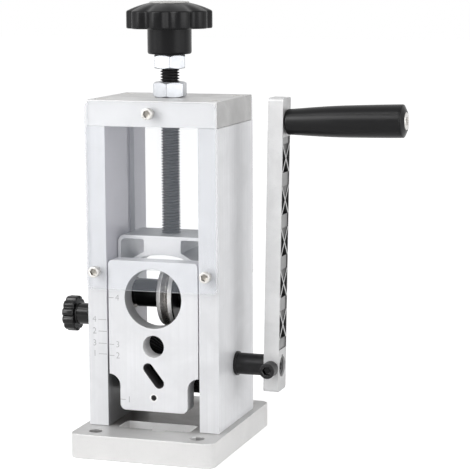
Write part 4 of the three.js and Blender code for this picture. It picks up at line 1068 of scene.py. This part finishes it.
class STRIPPER_OT_cutter(bpy.types.Operator):
    """Cutter wheel with two ground edges, on its axle"""

    bl_idname = "stripper.cutter"
    bl_label = "Cutter wheel"

    def execute(self, context):
        left, right = low("blade_wheel")[0], high("blade_wheel")[0]
        radius, axle = span("blade_wheel")[2] / 2, span("blade_axle")[2] / 2
        bevel, rise, groove, bore = 2.8, 1.3, 2.2, axle + 0.15
        centre = (left + right) / 2
        flank, crest = radius - rise, radius - 0.06
        outline = np.array([
            (bore, left), (bore + 0.4, left), (flank - 0.25, left), (flank, left + 0.2),
            (crest, left + bevel - 0.1), (crest, left + bevel + 0.1),
            (radius - groove, centre - 0.15), (radius - groove, centre + 0.15),
            (crest, right - bevel - 0.1), (crest, right - bevel + 0.1), (radius - 1.0, right - 0.8),
            (flank, right - 0.2), (flank - 0.25, right), (bore + 0.4, right), (bore, right),
            (bore, left)])
        # Bands: 0 the ground bevels with painted highlight, 1 the hollow with painted shade, and 2 the sides in
        # near-black oxide, which paints the shade between the walls.
        bands = [2, 2, 0, 0, 0, 1, 1, 1, 0, 0, 2, 2, 2, 2, 2]
        wheel = along_x(turned(outline, 160), AXLE)
        skin("blade_wheel", "ground", wheel, "ground", "hollow", "oxide", bands=bands, sharp=12)

        end, shoulder, journal = high("blade_axle")[0], 21.8, 7.9
        shaft = turned(eased_outline([
            (0, -end), (journal, -end, 0.5), (journal, -shoulder), (axle, -shoulder, 0.5),
            (axle, shoulder, 0.5), (journal, shoulder), (journal, end, 0.5), (0, end)]))
        skin("blade_axle", "turned", along_x(shaft, AXLE), "oxide")
        dress("bush", "axle_bush_left", "axle_bush_right")
        return {"FINISHED"}


# Slider, guide plate and its clamp


def slider_finishes(centres, normals):
    """1 for the slider's front, a lighter copy as painted light, and 2 for the faces that look up, a darker copy
    as painted shade.
    """
    front_depth = 2
    front = (normals[:, 1] < -FACING) & (centres[:, 1] < low("slider_block")[1] + front_depth)
    return np.select([front, normals[:, 2] > WALL], [1, 2], 0)


class STRIPPER_OT_slider(bpy.types.Operator):
    """Slider that carries the cutter"""

    bl_idname = "stripper.slider"
    bl_label = "Slider"

    def execute(self, context):
        eased_copy("slider_block", context.scene.stripper_shapes.plate_edge, slider_finishes,
                   "slider", "slider_front_painted_light", "slider_top_painted_shade")
        return {"FINISHED"}


def guide_finishes(centres, normals):
    """1 to 3 for the walls of the guide's openings: the large one with painted shade, the medium one with painted
    light, and the rest near black as painted shade.
    """
    wall = np.abs(normals[:, 1]) < WALL
    large_rise, large_radius, medium_rise, medium_radius = 70.8, 20, 41, 8.5
    small_half, small_bottom, small_top = 10, 6, 32
    x, rise = centres[:, 0], centres[:, 2] - low("guide_plate")[2]
    large = wall & (np.hypot(x, rise - large_rise) < large_radius)
    medium = wall & (np.hypot(x, rise - medium_rise) < medium_radius)
    small = wall & (np.abs(x) < small_half) & (rise > small_bottom) & (rise < small_top)
    return np.select([large, medium, small], [1, 2, 3], 0)


class STRIPPER_OT_guide(bpy.types.Operator):
    """Guide plate with its cable openings"""

    bl_idname = "stripper.guide"
    bl_label = "Guide plate"

    def execute(self, context):
        eased_copy("guide_plate", context.scene.stripper_shapes.plate_edge, guide_finishes,
                   "guide", "guide_large", "guide_medium", "guide_dark")
        lip = turned(np.array([
            (1.75, -0.3), (1.85, 0.02), (2.3, 0.06), (2.75, 0.02), (2.8, -0.3), (1.75, -0.3)]), 48)
        corner, hole_rise = low("guide_plate"), 8.8
        place = (0, corner[1], corner[2] + hole_rise)
        piece(mesh_from("guide_hole_lip", laid(lip, TO_FRONT, place), ["lip"]), body="guide")
        return {"FINISHED"}


class STRIPPER_OT_clamp(bpy.types.Operator):
    """Side knob and stud that hold the guide plate"""

    bl_idname = "stripper.clamp"
    bl_label = "Clamp knob"

    def execute(self, context):
        place = middle("clamp_knob")
        place[0] = high("clamp_knob")[0]
        length, _, across = span("clamp_knob")
        radius = across / 2
        boss, valley, edge, boss_length, crown = 6.6, 1.3, 1.0, 8.5, 0.8
        rim_end = length - crown
        outline = eased_outline([
            (0, 0.4), (boss - 0.5, 0.4), (boss - 0.5, 0), (boss, 0, 0.3), (boss, boss_length, 0.6),
            (radius - edge, boss_length, 0.3), (radius, boss_length, edge),
            (radius, rim_end, edge * 1.3), (radius * 0.72, length - 0.15, 1.5),
            (radius * 0.5, length - 0.1, 0.6), (radius * 0.44, length - 0.5, 0.4), (0, length - 0.5)])
        full = np.clip((outline[:, 0] - boss - 0.1) / (radius - edge - boss), 0, 1)
        knob = lobed(np.column_stack([outline, valley * full]),
                     context.scene.stripper_shapes.clamp_lobes, 20, math.radians(5), power=3.0)
        skin("clamp_knob", "moulded", laid(knob, TO_LEFT, place), "gloss", sharp=50)
        dress("oxide", "clamp_stud")
        return {"FINISHED"}


# Crank arm and handle


def arm_finishes(centres, normals):
    """Number of the finish on each of the arm's faces, by its depth under the outer face.

    0 is the arm's narrow sides, 1 the outer and inner face with the ribs' edges, 2 the shallow floor of the
    recess, and 3 the pockets between the ribs; 1 to 3 are ever darker copies of the cast colour, painted shade
    that deepens with the depth.
    """
    outward = np.array([math.cos(ARM_LEAN), 0, -math.sin(ARM_LEAN)])
    upward = np.array([math.sin(ARM_LEAN), 0, math.cos(ARM_LEAN)])
    recess_half, recess_depth, recess_bottom, recess_top = 7.4, 4.5, -142, -8
    flat_from, flat_to, skin_depth = 0.3, 0.9, 0.05
    from_bolt = centres - HANDLE_ORIGIN
    depth = -from_bolt @ outward
    across, rise = np.abs(centres[:, 1] - SHAFT[1]), from_bolt @ upward
    facing = normals @ outward
    inside = ((across < recess_half) & (depth < recess_depth)
              & (rise > recess_bottom) & (rise < recess_top))
    flat = inside & (facing > FACING) & (depth > flat_from) & (depth < flat_to)
    pocket = inside & (depth > skin_depth) & ~flat & (facing > -WALL)
    return np.select([flat, pocket, np.abs(facing) > FACING], [2, 3, 1], 0)


class STRIPPER_OT_crank_arm(bpy.types.Operator):
    """Cast crank arm with its crossed ribs and clamp screw"""

    bl_idname = "stripper.crank_arm"
    bl_label = "Crank arm"

    def execute(self, context):
        finishes, sharp = ("cast", "arm_face_painted_shade", "arm_flat_painted_shade", "arm_pocket_painted_shade"), 12
        node_copy("crank_arm", "cast", arm_finishes, finishes, sharp, False)
        head_height, flats, depth, shank, turn = 9.3, 5.0, 4.6, 3.0, 0.5
        socket_screw("crank_clamp_screw", TO_FRONT, head_height, flats, depth, shank, turn, "oxide",
                     across=2)
        return {"FINISHED"}


class STRIPPER_OT_handle(bpy.types.Operator):
    """Turning grip on its shoulder bolt"""

    bl_idname = "stripper.handle"
    bl_label = "Handle"

    def execute(self, context):
        gap, length, waist, radius, bore = 0.5, 74.3, 7.85, 10.1, 3.7
        shank, head_radius, head_height, proud, flats, depth = 3.4, 5.45, 2.6, 0.3, 5.0, 1.6
        recess = head_radius + 0.2
        # The swell is a smooth curve through these shares of the length and of the widening
        along_shares = np.array([0.02, 0.115, 0.24, 0.41, 0.6, 0.9, 0.955])
        out_shares = np.array([0.0, 0.2, 0.47, 0.755, 0.89, 1.0, 1.0])
        share = np.linspace(along_shares[0], along_shares[-1], 40)
        out = smooth_through(along_shares, out_shares, share)
        swell = np.column_stack([waist + (radius - waist) * out, gap + length * share])
        end, seam = gap + length, gap + length * 0.963
        seat = end + proud - head_height
        head = eased_outline([
            (bore, gap + 1.2), (bore + 0.3, gap), (waist - 0.1, gap, 1.1), swell[0]])
        tail = eased_outline([
            swell[-1], (radius, seam - 0.25, 0.1), (radius - 0.22, seam, 0.1), (radius, seam + 0.25, 0.1),
            (radius - 0.05, end - 1.8, 0.5), (6.25, end, 0.4), (recess, end - 0.2, 0.1),
            (recess, seat), (bore, seat), (bore, gap + 1.2)])
        grip = turned(np.vstack([head[:-1], swell, tail[1:]]), 120)
        skin("handle_grip", "moulded", laid(grip, HANDLE_AXIS, HANDLE_ORIGIN), "grip", sharp=40)

        inner, turn = 8.7, 0.25
        bolt = socket_head(head_radius, head_height, flats, depth, shank, seat + inner, turn)
        bolt[..., 2] += seat
        skin("handle_bolt", "head", laid(bolt, HANDLE_AXIS, HANDLE_ORIGIN), "stainless")
        return {"FINISHED"}


# Scales


def engraved_number(text, size):
    """Points and faces of a number, drawn flat in X and Z about its middle."""
    curve = bpy.data.curves.new("number", "FONT")
    curve.body, curve.size, curve.resolution_u = text, size, 4
    curve.align_x, curve.align_y = "CENTER", "CENTER"
    curve.offset = -0.012 * size
    made = bpy.data.objects.new("number", curve)
    bpy.context.scene.collection.objects.link(made)
    bpy.context.view_layer.update()
    mesh = bpy.data.meshes.new_from_object(made)
    flat = np.zeros(len(mesh.vertices) * 3)
    mesh.vertices.foreach_get("co", flat)
    flat = flat.reshape(-1, 3)
    faces = [list(face.vertices) for face in mesh.polygons]
    bpy.data.objects.remove(made)
    bpy.data.curves.remove(curve)
    bpy.data.meshes.remove(mesh)
    return np.column_stack([flat[:, 0], 0 * flat[:, 0], flat[:, 1]]), faces


def scale_piece(name, body, face_y, ticks, numbers):
    """Ticks and numbers as thin inlays that stand just proud of a front face."""
    proud, half, size = 0.03, 0.175, 5.6
    drawn = [
        (np.array([(left, 0, z - half), (right, 0, z - half), (right, 0, z + half),
                   (left, 0, z + half)]), [[0, 1, 2, 3]])
        for left, right, z in ticks]
    for text, x, z in numbers:
        places, faces = engraved_number(text, size)
        drawn.append((places + (x, 0, z), faces))
    starts = np.cumsum([0] + [len(places) for places, _ in drawn])
    faces = [[int(first + corner) for corner in face]
             for first, (_, part) in zip(starts, drawn) for face in part]
    flat = np.vstack([places for places, _ in drawn]) + (0, face_y - proud, 0)
    mesh = bpy.data.meshes.new(name)
    mesh.from_pydata((flat * MM).tolist(), [], faces)
    mesh.materials.append(finish("ink"))
    piece(mesh, body=body)


class STRIPPER_OT_scales(bpy.types.Operator):
    """Numbered marks on the guide plate and on the left side plate"""

    bl_idname = "stripper.scales"
    bl_label = "Scales"

    def execute(self, context):
        guide_marks = [("4", 96.9), ("3", 67.5), ("2", 60.5)]
        wall_marks = [("4", 82.9), ("2", 75.5), ("3", 67.9), ("1", 61.2)]
        lowest = 33.1
        ticks = [(-29.0, -25.8, z) for _, z in guide_marks] + [(-22.0, -18.6, lowest)]
        numbers = [(text, -23.4, z) for text, z in guide_marks] + [("1", -16.2, lowest)]
        scale_piece("guide_scale", "guide", low("guide_plate")[1], ticks, numbers)
        ticks = [(-35.9, -30.4, z) for _, z in wall_marks]
        numbers = [(text, -38.5, z) for text, z in wall_marks]
        scale_piece("wall_scale", "frame", low("side_plate_left")[1], ticks, numbers)
        return {"FINISHED"}


# Stage

WHITE = (1, 1, 1, 1)
FLOOR_GREY = (0.8, 0.8, 0.8, 1)


def area_lamp(name, place, width, height, power):
    """Rectangular lamp in metres, turned to the machine."""
    aim = Vector((0.02, 0, 0.13))
    data = bpy.data.lights.new(name, "AREA")
    data.shape, data.energy = "RECTANGLE", power
    data.size, data.size_y = width, height
    lamp = bpy.data.objects.new(name, data)
    lamp.location = place
    lamp.rotation_euler = (aim - Vector(place)).to_track_quat("-Z", "Y").to_euler()
    bpy.context.scene.collection.objects.link(lamp)
    return lamp


def seen_ray(tree):
    """1 for the rays that show the background: the camera's, glass's and reflections'."""
    rays = add_node(tree, "LightPath").outputs
    through = maths(tree, "MAXIMUM", rays["Is Camera Ray"], rays["Is Transmission Ray"])
    return maths(tree, "MAXIMUM", through, rays["Is Glossy Ray"])


def make_world(sky):
    """White background for the camera, through glass and in reflections, over an even sky."""
    world = bpy.data.worlds.new("studio")
    world.use_nodes = True
    tree = world.node_tree
    plain = tree.nodes["Background"]
    plain.inputs["Color"].default_value = WHITE
    plain.inputs["Strength"].default_value = sky
    white = add_node(tree, "Background", Color=WHITE, Strength=1.0)
    shown = add_node(tree, "MixShader", seen_ray(tree), plain, white)
    plug(tree, shown, tree.nodes["World Output"].inputs["Surface"])
    bpy.context.scene.world = world


def make_floor():
    """Pale floor that is white to the camera and in reflections, and shows the machine's shadow."""
    half = 6.0
    mesh = bpy.data.meshes.new("floor")
    mesh.from_pydata(
        [(-half, -half, 0), (half, -half, 0), (half, half, 0), (-half, half, 0)], [], [(0, 1, 2, 3)])
    floor = bpy.data.objects.new("floor", mesh)
    bpy.context.scene.collection.objects.link(floor)
    material = bpy.data.materials.new("pale_floor")
    material.use_nodes = True
    tree = material.node_tree
    tree.nodes.remove(tree.nodes["Principled BSDF"])
    matt = add_node(tree, "BsdfDiffuse", Color=FLOOR_GREY)
    away = vector_maths(tree, "LENGTH", object_place(tree)).outputs["Value"]
    paler = spread(tree, away, 0.35, 1.3, 0.66, 0.8, interpolation_type="SMOOTHSTEP")
    lift = add_node(tree, "Emission", Color=WHITE,
                    Strength=maths(tree, "MULTIPLY", seen_ray(tree), paler))
    both = add_node(tree, "AddShader", matt, lift)
    plug(tree, both, tree.nodes["Material Output"].inputs["Surface"])
    mesh.materials.append(material)


def make_camera():
    """Camera at the photograph's place, angle and lens."""
    place = Vector((391.56, -1074.82, 300.74)) * MM
    yaw, pitch, roll = math.radians(18.015), math.radians(8.393), math.radians(-0.245)
    data = bpy.data.cameras.new("camera")
    data.sensor_width, data.lens = 36, 140.953
    data.clip_start, data.clip_end = 0.05, 50
    camera = bpy.data.objects.new("camera", data)
    turn = (Matrix.Rotation(yaw, 4, "Z") @ Matrix.Rotation(math.pi / 2 - pitch, 4, "X")
            @ Matrix.Rotation(roll, 4, "Z"))
    camera.matrix_world = Matrix.Translation(place) @ turn
    bpy.context.scene.collection.objects.link(camera)
    bpy.context.scene.camera = camera


class STRIPPER_OT_stage(bpy.types.Operator):
    """Floor, background, lamps and camera"""

    bl_idname = "stripper.stage"
    bl_label = "Stage"

    def execute(self, context):
        stage = context.scene.stripper_stage
        context.scene.view_settings.view_transform = "Standard"
        make_world(stage.sky)
        make_floor()
        make_camera()
        area_lamp("key", (-0.82, -1.09, 0.76), 0.55, 1.3, stage.key)
        area_lamp("fill", (1.38, -0.30, 0.45), 1.4, 1.2, stage.fill)
        area_lamp("top", (-0.22, -0.62, 1.36), 0.9, 0.22, stage.top)
        # A card's power is pi times its area times its radiance, and matt surfaces don't get it
        for name, place, width, height, radiance in (
                ("left_card", (-1.34, -0.70, 0.5), 0.6, 1.3, 1.8),
                ("right_card", (1.30, -0.78, 0.5), 0.8, 1.3, 1.8),
                ("top_card", (-0.42, -1.15, 1.02), 1.1, 0.5, 3.2)):
            power = math.pi * width * height * radiance * stage.cards
            area_lamp(name, place, width, height, power).visible_diffuse = False
        return {"FINISHED"}


class STRIPPER_PT_panel(bpy.types.Panel):
    """Lists the machine's pieces and settings"""

    bl_idname = "STRIPPER_PT_panel"
    bl_label = "Wire stripper"
    bl_space_type = "VIEW_3D"
    bl_region_type = "UI"
    bl_category = "Stripper"

    def draw(self, context):
        for operator in OPERATORS:
            self.layout.operator(operator.bl_idname)
        for group in SETTINGS:
            settings = getattr(context.scene, group)
            box = self.layout.box()
            for name in settings.bl_rna.properties.keys():
                if name not in ("rna_type", "name"):
                    box.prop(settings, name)


OPERATORS = (
    STRIPPER_OT_stage, STRIPPER_OT_plates, STRIPPER_OT_guards, STRIPPER_OT_guard_screws,
    STRIPPER_OT_frame_screws, STRIPPER_OT_slider, STRIPPER_OT_cutter, STRIPPER_OT_feed_roller,
    STRIPPER_OT_drive_shaft, STRIPPER_OT_adjusting_screw, STRIPPER_OT_nuts, STRIPPER_OT_hand_knob,
    STRIPPER_OT_guide, STRIPPER_OT_clamp, STRIPPER_OT_crank_arm, STRIPPER_OT_handle,
    STRIPPER_OT_scales,
)
SETTINGS = {
    "stripper_shapes": StripperShapes, "stripper_finishes": StripperFinishes,
    "stripper_stage": StripperStage,
}
CLASSES = (*SETTINGS.values(), *OPERATORS, STRIPPER_PT_panel)


def register():
    for cls in CLASSES:
        bpy.utils.register_class(cls)
    for name, group in SETTINGS.items():
        setattr(bpy.types.Scene, name, PointerProperty(type=group))


def unregister():
    for name in SETTINGS:
        delattr(bpy.types.Scene, name)
    for cls in reversed(CLASSES):
        bpy.utils.unregister_class(cls)


def main():
    """Makes every piece in order."""
    register()
    for operator in OPERATORS:
        category, name = operator.bl_idname.split(".")
        getattr(getattr(bpy.ops, category), name)()


if __name__ == "__main__":
    main()
